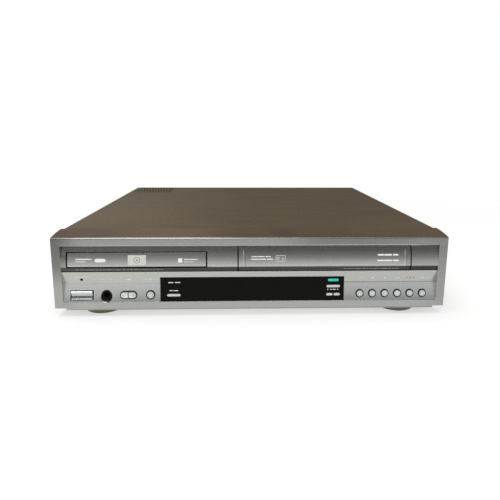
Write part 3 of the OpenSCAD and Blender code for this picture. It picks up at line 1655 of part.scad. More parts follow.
bottom_chassis();
top_cover();
rear_panel();
front_bezel();
display_window();
standby_lamp();
feet();
foot_pads();
case_screws();
main_board();
front_board();
power_supply();
av_sockets();
aerial_sockets();
phono_sockets();
mains_inlet();
phones_socket();
display_tube();
disc_deck_frame();
clamp_bridge();
disc_clamp();
disc_tray();
tray_front();
tray_gear();
tray_motor();
tray_pulley();
tray_belt();
traverse_plate();
sled_rods();
spindle_motor();
turntable();
laser_sled();
cassette_door();
cassette_deck_plate();
guide_plates();
carrier_slider();
cassette_carrier();
drum_base();
head_drum();
capstan();
supply_reel();
take_up_reel();
pinch_arm();
pinch_roller();
left_tape_guide();
right_tape_guide();
power_button();
level_down_button();
level_up_button();
tray_button();
select_button();
copy_button();
program_down_button();
program_up_button();
transport_button(0);  // transport_button_1
transport_button(1);  // transport_button_2
transport_button(2);  // transport_button_3
transport_button(3);  // transport_button_4
transport_button(4);  // transport_button_5
transport_button(5);  // transport_button_6
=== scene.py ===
# %% [markdown]
# # Dressing a disc player and cassette recorder
#
# The packed frame holds every piece of the machine at its real size: the case, the moulded front,
# both decks and all the buttons. This lesson gives those pieces their finishes, adds the small
# things that a CAD model leaves out, such as printed marks and contact blades, and lights them.
# Everything is in metres, with the front facing -Y and the shelf at Z = 0.

# %% Load the frame
import json
import math

import bmesh
import bpy
from mathutils import Matrix, Vector


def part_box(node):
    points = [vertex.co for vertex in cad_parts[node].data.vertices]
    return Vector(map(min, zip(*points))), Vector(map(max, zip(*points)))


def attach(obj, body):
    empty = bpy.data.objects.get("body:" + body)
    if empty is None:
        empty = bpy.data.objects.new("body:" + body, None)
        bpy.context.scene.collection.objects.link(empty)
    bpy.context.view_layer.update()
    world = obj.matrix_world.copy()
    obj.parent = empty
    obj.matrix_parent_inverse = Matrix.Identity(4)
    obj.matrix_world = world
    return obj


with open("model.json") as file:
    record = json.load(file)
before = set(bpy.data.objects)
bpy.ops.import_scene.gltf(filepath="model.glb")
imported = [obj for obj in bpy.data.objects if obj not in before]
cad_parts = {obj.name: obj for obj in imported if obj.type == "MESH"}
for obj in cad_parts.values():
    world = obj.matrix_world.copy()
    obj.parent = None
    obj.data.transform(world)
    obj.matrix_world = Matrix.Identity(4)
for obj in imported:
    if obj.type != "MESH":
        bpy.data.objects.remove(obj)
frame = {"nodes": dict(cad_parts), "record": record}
scene = bpy.context.scene
nodes, subparts = frame["nodes"], frame["record"]["subparts"]
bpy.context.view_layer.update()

# %% [markdown]
# ## The camera
#
# The camera looks from a little above the lid, nearly square to the front, as in a catalogue.
# A camera can be aimed with a constraint, but a constraint hides its numbers. Here the three
# camera axes are worked out from a turn, a dip and a small roll, and written as one matrix.

# %% Camera
eye = Vector((-0.014689, -0.581856, 0.202155))
turn, dip, roll = 0.0298, 0.158, 0.0049
ahead = Vector((math.sin(turn) * math.cos(dip), math.cos(turn) * math.cos(dip), -math.sin(dip)))
right = Vector((math.cos(turn), -math.sin(turn), 0))
up = right.cross(ahead)
right, up = (
    math.cos(roll) * right + math.sin(roll) * up,
    math.cos(roll) * up - math.sin(roll) * right,
)
lens = bpy.data.cameras.new("camera")
lens.lens = 27.75
lens.sensor_width = 36
lens.shift_y = -0.1144
camera = bpy.data.objects.new("camera", lens)
scene.collection.objects.link(camera)
camera.matrix_world = Matrix((
    (right.x, up.x, -ahead.x, eye.x),
    (right.y, up.y, -ahead.y, eye.y),
    (right.z, up.z, -ahead.z, eye.z),
    (0, 0, 0, 1),
))
scene.camera = camera
scene.view_settings.view_transform = "Standard"
print("camera at", [round(v, 3) for v in eye])

# %% [markdown]
# ## Shader arithmetic
#
# Node trees are quick to draw with a mouse and slow to read in code. A small wrapper makes them
# read like sums: a `Value` is an output socket that can be added, multiplied and mixed, and a
# `Finish` is a material that makes any node from its type, its settings and its inputs.

# %% Value
def shade(red, green, blue):
    """A screen colour from 0 to 255 as the linear colour that shaders use."""
    steps = [v / 255 for v in (red, green, blue)]
    return tuple(v / 12.92 if v <= 0.04045 else ((v + 0.055) / 1.055) ** 2.4 for v in steps) + (1,)


def scaled(colour, amount):
    """The same colour lighter or darker, as paint in more or less light."""
    return tuple(min(1, c * amount) for c in colour[:3]) + (1,)


class Value:
    """An output socket that takes part in sums."""

    def __init__(self, tree, socket):
        self.tree, self.socket = tree, socket

    def math(self, operation, *others):
        return self.tree.node("ShaderNodeMath", {"operation": operation}, dict(enumerate([self, *others])))

    def __add__(self, other):
        return self.math("ADD", other)

    def __mul__(self, other):
        return self.math("MULTIPLY", other)

    def __sub__(self, other):
        return self.math("SUBTRACT", other)

    def __rsub__(self, other):
        return self * -1 + other

    __radd__ = __add__
    __rmul__ = __mul__

    def ramp(self, start, end, low=0.0, high=1.0):
        """Runs from low to high, smoothly, as the value goes from start to end."""
        inputs = {0: self, 1: start, 2: end, 3: low, 4: high}
        return self.tree.node("ShaderNodeMapRange", {"interpolation_type": "SMOOTHSTEP"}, inputs)

    def over(self, level, soft=0.00005):
        return self.ramp(level - soft, level + soft)

    def between(self, low, high, soft=0.00005):
        return self.over(low, soft) * (1 - self.over(high, soft))

    def pick(self, first, second):
        """The first colour where the value is 0 and the second where it is 1."""
        return self.tree.node("ShaderNodeMix", {"data_type": "RGBA"}, {0: self, 6: first, 7: second}, 2)

    def tint(self, first, second):
        """The first colour where the value is 0 and both multiplied where it is 1."""
        settings = {"data_type": "RGBA", "blend_type": "MULTIPLY"}
        return self.tree.node("ShaderNodeMix", settings, {0: self, 6: first, 7: second}, 2)


print("a mid grey is", [round(v, 3) for v in shade(128, 128, 128)])


# %% Nodes and Finish
class Nodes:
    """The node tree of a material or of the sky."""

    def __init__(self, owner):
        owner.use_nodes = True
        self.nodes, self.links = owner.node_tree.nodes, owner.node_tree.links
        self.nodes.clear()

    def node(self, kind, settings=None, inputs=None, output=0):
        made = self.nodes.new(kind)
        for key, value in (settings or {}).items():
            setattr(made, key, value)
        for key, value in (inputs or {}).items():
            if isinstance(value, Value):
                self.links.new(value.socket, made.inputs[key])
            else:
                made.inputs[key].default_value = value
        return Value(self, made.outputs[output])

    def split(self, vector):
        return [self.node("ShaderNodeSeparateXYZ", inputs={0: vector}, output=i) for i in range(3)]


class Finish(Nodes):
    """A material whose nodes are made in code."""

    def __init__(self, name):
        self.material = bpy.data.materials.new(name)
        super().__init__(self.material)
        self.end = self.nodes.new("ShaderNodeOutputMaterial")
        self.point = self.node("ShaderNodeTexCoord", output="Object")
        self.x, self.y, self.z = self.split(self.point)

    def noise(self, size, detail=3.0, stretch=(1, 1, 1)):
        """Cloudy noise with marks of about the given size in metres."""
        spot = self.node("ShaderNodeVectorMath", {"operation": "MULTIPLY"}, {0: self.point, 1: stretch})
        return self.node("ShaderNodeTexNoise", inputs={"Vector": spot, "Scale": 1 / size, "Detail": detail})

    def cells(self, size):
        """A flat random colour in each cell of about the given size in metres."""
        inputs = {"Vector": self.point, "Scale": 1 / size}
        return self.node("ShaderNodeTexVoronoi", inputs=inputs, output="Color")

    def rounded(self, radius):
        return self.node("ShaderNodeBevel", {"samples": 4}, {"Radius": radius})

    def bump(self, height, depth, normal):
        return self.node("ShaderNodeBump", inputs={"Height": height, "Distance": depth, "Normal": normal})

    def facing(self, way):
        """How squarely the surface faces a direction, which can be another normal."""
        true = self.node("ShaderNodeNewGeometry", output="True Normal")
        dot = {"operation": "DOT_PRODUCT"}
        return self.node("ShaderNodeVectorMath", dot, {0: true, 1: way}, "Value")

    def edge(self, normal):
        """Near 1 along sharp edges and 0 on flats, from how far the rounded normal leans."""
        return (1 - self.facing(normal)).ramp(0.02, 0.25)

    def surface(self, **inputs):
        named = {key.replace("_", " "): value for key, value in inputs.items()}
        shader = self.node("ShaderNodeBsdfPrincipled", inputs=named)
        self.links.new(shader.socket, self.end.inputs["Surface"])
        return self.material


print("a finish can use", [word for word in vars(Finish) if word[0] != "_"])

# %% [markdown]
# ## Floor, backdrop and light
#
# The machine stands on a pale sheet with a white wall far behind it. The sheet takes the soft
# shadow and turns to plain white further out, so that no horizon shows. A broad lamp hangs
# overhead and the sky fills the rest. Together they light a level surface at about full strength,
# so that each finish looks as it is written.
#
# Satin metal paint shows what stands round it. The sky is therefore split by ray: matt surfaces
# see an even sky, and shiny ones see a room with a dark band above the horizon in front, which
# gives the curved face part of its fall from dark to light; the rest is painted light and shade in
# the front's finish.

# %% Floor and backdrop
def deselect():
    bpy.ops.object.select_all(action="DESELECT")


def start(kind, name, **place):
    """Adds a primitive, alone selected, and names it."""
    deselect()
    getattr(bpy.ops.mesh, "primitive_%s_add" % kind)(**place)
    bpy.context.object.name = name
    return bpy.context.object


def edit(thing):
    """Opens a piece for shaping, all of it selected, and gives its mesh."""
    deselect()
    thing.select_set(True)
    bpy.context.view_layer.objects.active = thing
    bpy.ops.object.mode_set(mode="EDIT")
    bpy.ops.mesh.select_mode(type="VERT")
    bpy.ops.mesh.select_all(action="SELECT")
    return bmesh.from_edit_mesh(thing.data)


def shaped():
    bpy.ops.object.mode_set(mode="OBJECT")


def choose(mesh, thing, rule):
    """Selects the vertices that a rule on their place accepts."""
    for v in mesh.verts:
        v.select_set(rule(v.co))
    mesh.select_flush_mode()
    bmesh.update_edit_mesh(thing.data)


floor = start("plane", "floor", size=12)
wall = start("plane", "wall", size=12, location=(0, 6, 0))
edit(wall)
bpy.ops.transform.rotate(value=math.radians(90), orient_axis="X")
bpy.ops.transform.resize(value=(2, 1, 2))
shaped()
deselect()
wall.select_set(True)
bpy.ops.object.transform_apply(location=True)
wall.visible_glossy = wall.visible_diffuse = wall.visible_shadow = False

paper = Finish("white_paper")
away = (paper.x * paper.x + paper.y * paper.y).math("SQRT") + paper.z
seen = paper.node("ShaderNodeLightPath", output="Is Camera Ray")
mirrored = paper.node("ShaderNodeLightPath", output="Is Glossy Ray")
through = paper.node("ShaderNodeLightPath", output="Is Transmission Ray")
glow = (away.ramp(0.3, 0.9, 0.5, 1) * seen + mirrored + through).math("MINIMUM", 1)
level = 1 - mirrored * (-0.2 - paper.y).ramp(0.1, 0.34, 0, 0.62)
matt = paper.node("ShaderNodeBsdfDiffuse", inputs={"Color": (1, 1, 1, 1)})
plain = paper.node("ShaderNodeEmission", inputs={"Color": (1, 1, 1, 1), "Strength": level})
both = paper.node("ShaderNodeMixShader", inputs={0: glow, 1: matt, 2: plain})
paper.links.new(both.socket, paper.end.inputs["Surface"])
paper.material.cycles.emission_sampling = "NONE"
for sheet in (floor, wall):
    sheet.data.materials.append(paper.material)
print("floor and wall", len(floor.data.polygons) + len(wall.data.polygons), "faces")

# %% Sky
world = bpy.data.worlds.new("sky")
scene.world = world
world.cycles.sampling_method = "NONE"
sky = Nodes(world)
toward = sky.split(sky.node("ShaderNodeTexCoord", output="Generated"))
even_sky = 0.52
in_front = (toward[1] * -1).ramp(-0.1, 0.2)
window_side = toward[0].ramp(-0.5, 0.5, 1.15, 0.75)
front_room = toward[2].ramp(0.0, 0.28, 0.74, 0.05) * window_side + toward[2].ramp(0.7, 0.95, 0, 1)
back_room = toward[0].ramp(-0.5, 0.1, 0.7, 0.3)
room = in_front * front_room + (1 - in_front) * back_room
is_seen = sky.node("ShaderNodeLightPath", output="Is Camera Ray")
is_mirrored = sky.node("ShaderNodeLightPath", output="Is Glossy Ray")
strength = is_seen + (1 - is_seen) * (is_mirrored * room + (1 - is_mirrored) * even_sky)
light = sky.node("ShaderNodeBackground", inputs={"Color": (1, 1, 1, 1), "Strength": strength})
sky_end = sky.nodes.new("ShaderNodeOutputWorld")
sky.links.new(light.socket, sky_end.inputs["Surface"])
print("sky nodes", len(sky.nodes))


# %% Lamps
def lamp(name, spot, width, depth, power, colour, shiny=True):
    """A soft rectangular lamp that faces the machine."""
    light = bpy.data.lights.new(name, "AREA")
    light.shape = "RECTANGLE"
    light.size, light.size_y, light.energy, light.color = width, depth, power, colour
    thing = bpy.data.objects.new(name, light)
    scene.collection.objects.link(thing)
    thing.location = spot
    thing.rotation_euler = (Vector((0, 0, 0.05)) - Vector(spot)).to_track_quat("-Z", "Y").to_euler()
    thing.visible_glossy = shiny
    return thing


lamp("overhead", (-0.2, -0.2, 1.5), 1.8, 1.3, 17.0, (1, 0.99, 0.97))
lamp("front_left", (-1.0, -1.5, 0.8), 1.0, 1.0, 8.0, (1, 0.985, 0.95), False)
lamp("front_right", (1.2, -1.2, 0.6), 1.0, 1.0, 3.0, (0.93, 0.96, 1), False)

# %% [markdown]
# ## Finishes
#
# Each finish follows how the real one is made. A flat colour is never enough: paint has flake and
# a slight mottle, moulded plastic has a fine grain, rolled steel has streaks, and every edge is
# a little rounded and rubbed, its colour lightened as wear and as a painted highlight. The rounding
# is done in the shading, which leaves the frame's solids as they are. The paints of the cover and
# the front and the button caps also carry painted light and shade, set by place. One finish is made
# for each material slot of the record.
#
# Inside each opening the front is given painted shade, near black, from a little way behind its
# face. The mask for that is a sum: how deep a point lies behind the face's own profile, which is a
# line for each flat and an arc for the curved part.

# %% Heights and depths of the front, in metres
front_y = -0.18
rail_top, crease_z, strip_z, strip_top, recess_top = 0.0169, 0.0368, 0.0516, 0.0566, 0.0803
recess_x, crown_z = 0.2058, 0.0887
rail_in, crease_in, strip_in, curve_r = 0.0005, 0.0045, 0.0012, 0.066
phones_x = -0.1593
rib_x, rib_low, rib_high = (-0.0093, 0.1687), 0.0548, 0.0746
lip_top, gap_shade_depth, strip_line, paint_edge = 0.0092, 0.0003, 0.0008, 0.0006
# From which height to which the shade changes on the curve and at the foot of the lower face
curve_dark, curve_foot, curve_rim, lower_foot = (
    (0.0605, 0.0715), (0.06, 0.067), (0.0735, 0.077), (0.0172, 0.024)
)


def face_depth(z):
    """How far the face lies behind the front plane at a height, for numbers and for sockets."""
    lower = (z - rail_top) * ((crease_in - rail_in) / (crease_z - rail_top)) + rail_in
    band = crease_in - (z - crease_z) * ((crease_in - rail_in) / (strip_z - crease_z))
    if isinstance(z, Value):
        rise = (z - strip_top).math("MAXIMUM", 0)
        curve = curve_r - (curve_r**2 - rise * rise).math("SQRT")
        strip = z.between(strip_z, strip_top) * strip_in
        return (
            lower * (1 - z.over(crease_z)) + band * z.between(crease_z, strip_z) + strip
            + curve * z.over(strip_top)
        )
    return lower if z < crease_z else band


print("crease at", round(face_depth(crease_z), 4))


# %% Painted finishes
def paint(name, colour, rough, amount, shine, gloss):
    """Satin paint, with painted light: lighter to the left and darker to the back."""
    f = Finish(name)
    round_edge = f.rounded(paint_edge)
    # Painted light and shade: lighter to the left, darker to the back, the front corners evened out
    side = f.x.ramp(-0.2, 0.02).pick(scaled(colour, 1.16), scaled(colour, 0.82))
    side = f.y.ramp(-0.18, 0.18, 0, 0.75).pick(side, scaled(colour, 0.74))
    near_front = f.y.ramp(-0.16, -0.08, 1, 0)
    side = (near_front * f.x.ramp(-0.19, -0.1, 0.7, 0)).pick(side, scaled(colour, 0.88))
    side = (near_front * f.x.ramp(0.06, 0.19)).pick(side, scaled(colour, 1.0))
    brushed = f.noise(0.03, 3, (0.35, 1.6, 1)).ramp(0.25, 0.75, 0, amount)
    body = brushed.pick(side, scaled(colour, 1.3))
    # Edges lightened as rubbed wear and as a painted highlight
    wear_and_glint = f.edge(round_edge) * f.noise(0.004, 2).ramp(0.35, 0.6, 0.1, 0.4)
    body = wear_and_glint.pick(body, scaled(colour, 1.7))
    spread = f.noise(0.004, 3).ramp(0.2, 0.8, rough - 0.05, rough + 0.08)
    normal = f.bump(f.noise(0.002, 2), 0.00001, round_edge)
    return f.surface(
        Base_Color=body, Metallic=shine, Roughness=spread, Normal=normal, Specular_IOR_Level=gloss
    )


cover_paint = paint("cover_paint", shade(89, 76, 56), 0.46, 0.3, 0.25, 0.1)
screw_black = paint("screw_black", shade(58, 54, 50), 0.4, 0.1, 0.6, 0.3)
print("paints", cover_paint.name, screw_black.name)


# %% Front finish
def front_paint(name, silver, brown, dark, gap_shade):
    """Silver with painted light and shade, brown on the crown, a dark strip,
    and painted shade, near black, in the openings.
    """
    f = Finish(name)
    round_edge = f.rounded(paint_edge)
    side = f.x.math("ABSOLUTE")
    inside = side.between(-1, recess_x) * f.z.between(rail_top, recess_top)
    facing = f.facing((-0.35, 0, 0.94))

    # The painted shade in the openings starts deeper on sills that face up into the light, except beside
    # the headphone socket
    by_socket = (f.x - phones_x).math("ABSOLUTE").between(-1, 0.008) * (1 - f.z.over(crease_z))
    sill = facing.ramp(0.3, 0.8, 0, 0.002) * (1 - by_socket)
    reach = sill * (1 - f.z.over(strip_top - 0.003)) + gap_shade_depth
    deep = (f.y - front_y - face_depth(f.z) - reach).over(0, 0.0001) * inside
    strip_low = strip_z - 0.0005
    in_strip = f.z.between(strip_low, strip_top) * inside
    under_strip = f.z.between(strip_low, strip_low + strip_line) * inside
    crown_start = f.x.ramp(-0.14, 0.02, front_y + 0.0016, front_y + 0.0004)
    on_crown = f.z.over(crown_z, 0.00015) * f.y.over(crown_start, 0.00015)

    # Silver with painted light, warmer at the left and cooler at the right, with a slow drift of the spray
    cool_light_tint = (silver[0] * 0.9, silver[1] * 0.93, silver[2] * 1.03, 1)
    light_tint = f.x.ramp(-0.21, 0.21).pick(scaled(silver, 1.02), cool_light_tint)
    body = f.noise(0.05, 2, (0.3, 1, 1)).ramp(0.3, 0.7).pick(light_tint, scaled(silver, 0.95))

    # Painted light and shade on the curve: bright over the strip, dark higher up, and lighter again below
    # its upper edge
    on_curve = f.z.over(strip_top) * inside
    body = (f.z.ramp(*curve_dark) * on_curve).pick(body, scaled(silver, 0.58))
    body = (f.z.ramp(*curve_foot, 0.7, 0) * on_curve).pick(body, scaled(silver, 1.2))
    body = (f.z.ramp(*curve_rim, 0, 0.3) * on_curve).pick(body, scaled(silver, 1.2))
    # Painted shade at both ends of the curve, beside the columns
    left_end = f.x.ramp(-0.201, -0.198, 0.35, 0) * (1 - f.z.over(0.0705, 0.001)) * on_curve
    body = left_end.tint(body, (0, 0, 0, 1))
    right_end = f.x.ramp(0.165, 0.175) * f.z.ramp(0.058, 0.067, 0.75, 0) * on_curve
    body = right_end.pick(body, scaled(silver, 0.85))

    # Painted light on the lower face, brighter as it leans back, with a painted duller foot along the rail
    # and a slight bluish tint
    on_lower = (1 - f.z.over(crease_z)) * inside
    body = (f.z.ramp(rail_top, crease_z) * on_lower).pick(body, scaled(silver, 1.55))
    body = (f.z.ramp(*lower_foot, 0.6, 0) * on_lower).pick(body, scaled(silver, 0.75))
    body = on_lower.tint(body, (0.98, 1.0, 1.04, 1))
    # A painted shadow line along the crease, fainter at the left
    crease = f.z.between(crease_z - 0.0004, crease_z + 0.0004, 0.0002) * inside
    body = (crease * f.x.ramp(-0.16, 0.08, 0.2, 0.75)).pick(body, scaled(silver, 0.35))

    # Painted shade on the band above the recess, right of the middle, a painted highlight on its lower rim,
    # and painted shade on the lip at the very bottom
    top_band = f.z.over(recess_top) * f.x.ramp(0.02, 0.08) * f.x.ramp(0.12, 0.2, 1, 0.5)
    body = top_band.pick(body, scaled(silver, 0.66))
    band_rim = f.z.between(recess_top - 0.0002, recess_top + 0.0009, 0.0002)
    band_rim = band_rim * (1 - side.over(0.185, 0.01))
    body = (band_rim * f.x.ramp(-0.05, 0.05, 0.2, 0.7)).pick(body, scaled(silver, 1.5))
    body = (1 - f.z.over(lip_top, 0.0004)).pick(body, scaled(silver, 0.6))
    # Edges lightened as rubbed wear and as a painted highlight, strongest at the left
    wear_and_glint = f.edge(round_edge) * f.noise(0.004, 2).ramp(0.35, 0.6, 0.1, 0.3) * f.x.ramp(-0.15, 0.05, 1, 0.4)
    body = wear_and_glint.pick(body, scaled(silver, 1.5))

    # The columns at both ends and the rail lie in more shade, the left column most at its top
    beside = f.z.between(rail_top, recess_top, 0.003)
    corner = side.ramp(0.178, 0.2145) * f.x.ramp(-0.1, 0.1, 1, 0.3) * (1 - beside)
    column = side.over(recess_x, 0.0003) * beside + corner
    columns = column * f.x.ramp(-0.2, 0.2, 0.95, 0.75) + (1 - f.z.over(rail_top, 0.0003)) * 0.4
    left_column = f.z.ramp(0.03, 0.062).pick(scaled(silver, 0.78), scaled(silver, 0.44))
    column_shade = f.x.ramp(-0.2, -0.15).pick(left_column, scaled(silver, 0.58))
    body = columns.math("MINIMUM", 1).pick(body, column_shade)

    # The power button is moulded apart, in a cooler and lighter silver, with a painted highlight on its
    # faces that look up
    power_low, power_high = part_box("power_button")
    on_power = f.x.between(power_low.x, power_high.x) * f.z.between(power_low.z, power_high.z)
    body = on_power.tint(body, (1.08, 1.13, 1.2, 1))
    body = (on_power * facing.ramp(0.5, 0.9)).pick(body, scaled(silver, 1.65))

    # Each rib of the door has a painted highlight along its ridge and a painted shadow just to its right
    for x in rib_x:
        along_rib = f.z.between(rib_low, rib_high)
        crest_glint = (f.x - x).math("ABSOLUTE").ramp(0.0006, 0.0011, 0.35, 0) * along_rib
        groove_shade = (f.x - x - 0.0016).math("ABSOLUTE").ramp(0.0004, 0.001, 0.4, 0) * along_rib
        body = groove_shade.pick(crest_glint.pick(body, scaled(silver, 1.6)), scaled(silver, 0.3))

    # The dark strip, lighter at the left and darker at the right in painted light and shade, the painted
    # shadow line under it, and the brown crown, lighter left of middle in painted light
    strip_shade = f.x.ramp(-0.2, -0.06).pick(scaled(dark, 1.25), scaled(dark, 0.9))
    strip_shade = f.x.ramp(0.15, 0.19).pick(strip_shade, scaled(dark, 0.7))
    body = under_strip.pick(in_strip.pick(body, strip_shade), scaled(dark, 0.25))
    crown = (f.x + 0.09).math("ABSOLUTE").ramp(0.0, 0.1).pick(scaled(brown, 1.25), scaled(brown, 0.72))
    crown = f.x.ramp(0.04, 0.2).pick(crown, scaled(brown, 1.0))
    mottle = f.noise(0.03, 3).ramp(0.3, 0.7) * 0.4
    body = on_crown.pick(body, mottle.pick(crown, scaled(brown, 1.25)))

    # Painted shade, near black, in the openings and on the upper faces of what stands in the curve
    top_face = facing.ramp(0.8, 0.93) * f.z.over(strip_top + 0.002) * inside
    body = (deep + top_face).math("MINIMUM", 1).pick(body, gap_shade)
    shine = (1 - in_strip * 0.6) * (1 - on_crown * 0.7) * (1 - deep) * 0.9
    spread = f.noise(0.004, 3).ramp(0.2, 0.8, 0.26, 0.32) + on_crown * 0.2 + deep * 0.3
    normal = f.bump(f.noise(0.002, 2), 0.000006, round_edge)
    return f.surface(
        Base_Color=body, Metallic=shine, Roughness=spread, Normal=normal, Specular_IOR_Level=0.3
    )


front_silver = front_paint(
    "front_silver", shade(186, 187, 181), shade(87, 71, 52), shade(70, 70, 68), shade(14, 14, 14)
)
print("front finish", len(front_silver.node_tree.nodes), "nodes")


# %% Moulded plastics and rubber
def moulded(
    name, colour, rough, grain=0.0006, depth=0.00002, gloss=0.4, coat=0.0, dust=0.06, caps=()
):
    """Moulded plastic: fine even grain, faint flow marks, dust, and edges lightened as wear and as a
    painted highlight.

    For button caps, the part behind the front's face gets painted shade, near black, the sides a
    little less, and so does the underside of each slim cap that is named."""
    f = Finish(name)
    round_edge = f.rounded(0.0004)
    body = f.noise(0.02, 3, (1, 0.4, 1)).ramp(0.3, 0.7).pick(scaled(colour, 0.9), colour)
    # Edges lightened as rubbed wear and as a painted highlight
    body = (f.edge(round_edge) * 0.3).pick(body, scaled(colour, 1.3))
    body = f.noise(0.005, 4).ramp(0.5, 0.8, 0, dust).pick(body, shade(190, 186, 178))
    if caps:
        # Painted shade on the cap's sides, and near black behind the front's face
        body = f.facing((0, -1, 0)).ramp(0.2, 0.6, 0.8, 0).pick(body, scaled(colour, 0.25))
        behind = (f.y - front_y - face_depth(f.z)).over(0.0001, 0.0004)
        body = behind.pick(body, scaled(colour, 0.02))
    # Painted shade on the lower part of each slim cap
    for cap in caps:
        low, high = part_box(cap)
        fall = f.z.ramp(low.z, low.z * 0.4 + high.z * 0.6, 0.92, 0)
        under = f.x.between(low.x, high.x) * f.z.over(low.z - 0.0001) * fall
        body = under.pick(body, scaled(colour, 0.08))
    spread = f.noise(0.003, 3).ramp(0.3, 0.7, rough - 0.06, rough + 0.08)
    normal = f.bump(f.noise(grain, 2), depth, round_edge)
    return f.surface(
        Base_Color=body, Roughness=spread, Normal=normal, Specular_IOR_Level=gloss,
        Coat_Weight=coat, Coat_Roughness=0.06,
    )


slim_caps = ("select_button", "copy_button", "program_down_button", "program_up_button")
button_white = moulded("button_white", shade(210, 211, 209), 0.34, 0.0008, 0.000006, caps=slim_caps)
window_black = moulded("window_black", shade(13, 13, 10), 0.16, 0.002, 0.000002, 0.06, 0, 0.002)
foot_plastic = moulded("foot_plastic", shade(104, 96, 80), 0.5)
rubber = moulded("rubber", shade(40, 40, 40), 0.75, 0.0004, 0.00003, 0.3)
socket_black = moulded("socket_black", shade(9, 9, 10), 0.5, gloss=0.15, dust=0.003)
deck_plastic = moulded("deck_plastic", shade(66, 67, 66), 0.5)
gear_plastic = moulded("gear_plastic", shade(224, 220, 206), 0.4)
tube_glass = moulded("tube_glass", shade(58, 70, 68), 0.12, 0.002, 0.000004, 0.5, 0.6)
print("materials after the plastics", len(bpy.data.materials))


# %% Bare metals
spangle_size = 0.009


def metal(name, colour, rough, streak=(1, 1, 1), size=0.004, spangle=0.0):
    """Bare metal: rolling or turning streaks, and the crystal pattern of a zinc coat."""
    f = Finish(name)
    round_edge = f.rounded(0.0003)
    lines = f.noise(size, 4, streak)
    body = lines.ramp(0.3, 0.7).pick(scaled(colour, 0.8), colour)
    if spangle:
        grey = f.node("ShaderNodeSeparateColor", inputs={0: f.cells(spangle_size)})
        body = (grey * spangle).pick(body, scaled(colour, 0.7))
    spread = lines.ramp(0.2, 0.8, rough - 0.06, rough + 0.1)
    normal = f.bump(lines, 0.00001, round_edge)
    return f.surface(Base_Color=body, Metallic=1.0, Roughness=spread, Normal=normal)


sheet_steel = metal("sheet_steel", shade(196, 198, 198), 0.38, (1, 0.15, 1), 0.003, 0.5)
bright_steel = metal("bright_steel", shade(214, 214, 214), 0.2, (1, 1, 0.1), 0.001)
drum_alloy = metal("drum_alloy", shade(222, 224, 226), 0.22, (0.05, 0.05, 1), 0.0008)
print("materials after the metals", len(bpy.data.materials))

# %% [markdown]
# ### Circuit boards and sockets
#
# A board is one solid in the frame, with its parts standing on it, so its finish changes with
# height: green lacquer with copper tracks below, and dark parts above. The row of audio jacks
# changes along its depth: black block, coloured collar, nickel barrel.

# %% Boards
board_t, track_scale, pad_scale, part_size = 0.0016, 160.0, 220.0, 0.02
board_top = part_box("main_board")[0].z + board_t


def board(name, lacquer, track, low_part, high_part):
    """Lacquer and tracks up to the board's top, and parts above it."""
    f = Finish(name)
    round_edge = f.rounded(0.0003)
    grid = f.node(
        "ShaderNodeTexBrick", {"offset": 0.5},
        {"Vector": f.point, "Scale": track_scale, "Mortar Size": 0.035, "Color1": (0, 0, 0, 1),
         "Color2": (0, 0, 0, 1), "Mortar": (1, 1, 1, 1)},
    )
    tracks = f.node("ShaderNodeSeparateColor", inputs={0: grid}) * f.noise(0.012, 1).over(0.5, 0.02)
    dots = f.node("ShaderNodeTexVoronoi", inputs={"Vector": f.point, "Scale": pad_scale})
    pads = 1 - dots.over(0.16, 0.02)
    skin = (pads * 0.8).pick(tracks.pick(lacquer, track), shade(196, 190, 172))
    kinds = f.node("ShaderNodeSeparateColor", inputs={0: f.cells(part_size)})
    parts = kinds.over(0.6, 0.02).pick(low_part, high_part)
    body = f.z.over(board_top, 0.0001).pick(skin, parts)
    spread = f.noise(0.002, 2).ramp(0.3, 0.7, 0.32, 0.5)
    normal = f.bump(tracks + pads, 0.00003, round_edge)
    return f.surface(Base_Color=body, Roughness=spread, Normal=normal)


board_green = board(
    "board_green", shade(38, 92, 58), shade(92, 140, 84), shade(38, 38, 40), shade(60, 62, 66)
)
supply_board = board(
    "supply_board", shade(160, 126, 82), shade(186, 156, 104), shade(44, 46, 58), shade(78, 80, 86)
)
print("board top at", round(board_top, 4))


# %% Jacks
jack_margin, jack_pitch, barrel_l, collar_l = 0.009, 0.015, 0.008, 0.0025


def jacks(name):
    """Black block, collars in three colours, and nickel barrels."""
    f = Finish(name)
    round_edge = f.rounded(0.0003)
    low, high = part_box("phono_sockets")
    first, barrel_start = low.x + jack_margin, high.y - barrel_l - 0.0001
    left_two = f.x.over(first + jack_pitch * 0.5).pick(shade(214, 178, 40), shade(214, 214, 208))
    collar = f.x.over(first + jack_pitch * 1.5).pick(left_two, shade(178, 40, 36))
    shiny = f.y.over(barrel_start)
    colour = shiny.pick(collar, shade(206, 198, 178))
    body = f.y.over(barrel_start - collar_l).pick(shade(30, 30, 31), colour)
    spread = f.noise(0.002, 3).ramp(0.3, 0.7, 0.2, 0.36)
    normal = f.bump(f.noise(0.0008, 2), 0.000006, round_edge)
    return f.surface(Base_Color=body, Metallic=shiny, Roughness=spread, Normal=normal)


phono_nickel = jacks("phono_nickel")
print("jacks", len(phono_nickel.node_tree.nodes), "nodes")

# %% Every node takes its slot's finish
finishes = {
    "cover_paint": cover_paint, "front_silver": front_silver, "window_black": window_black,
    "button_white": button_white, "sheet_steel": sheet_steel, "bright_steel": bright_steel,
    "screw_black": screw_black, "foot_plastic": foot_plastic, "rubber": rubber,
    "board_green": board_green, "supply_board": supply_board, "socket_black": socket_black,
    "phono_nickel": phono_nickel, "tube_glass": tube_glass, "deck_plastic": deck_plastic,
    "gear_plastic": gear_plastic, "drum_alloy": drum_alloy,
}


def dress(thing, finish):
    """Gives one finish to all of an object's material slots."""
    if not thing.material_slots:
        thing.data.materials.append(finish)
    for s in thing.material_slots:
        s.material = finish


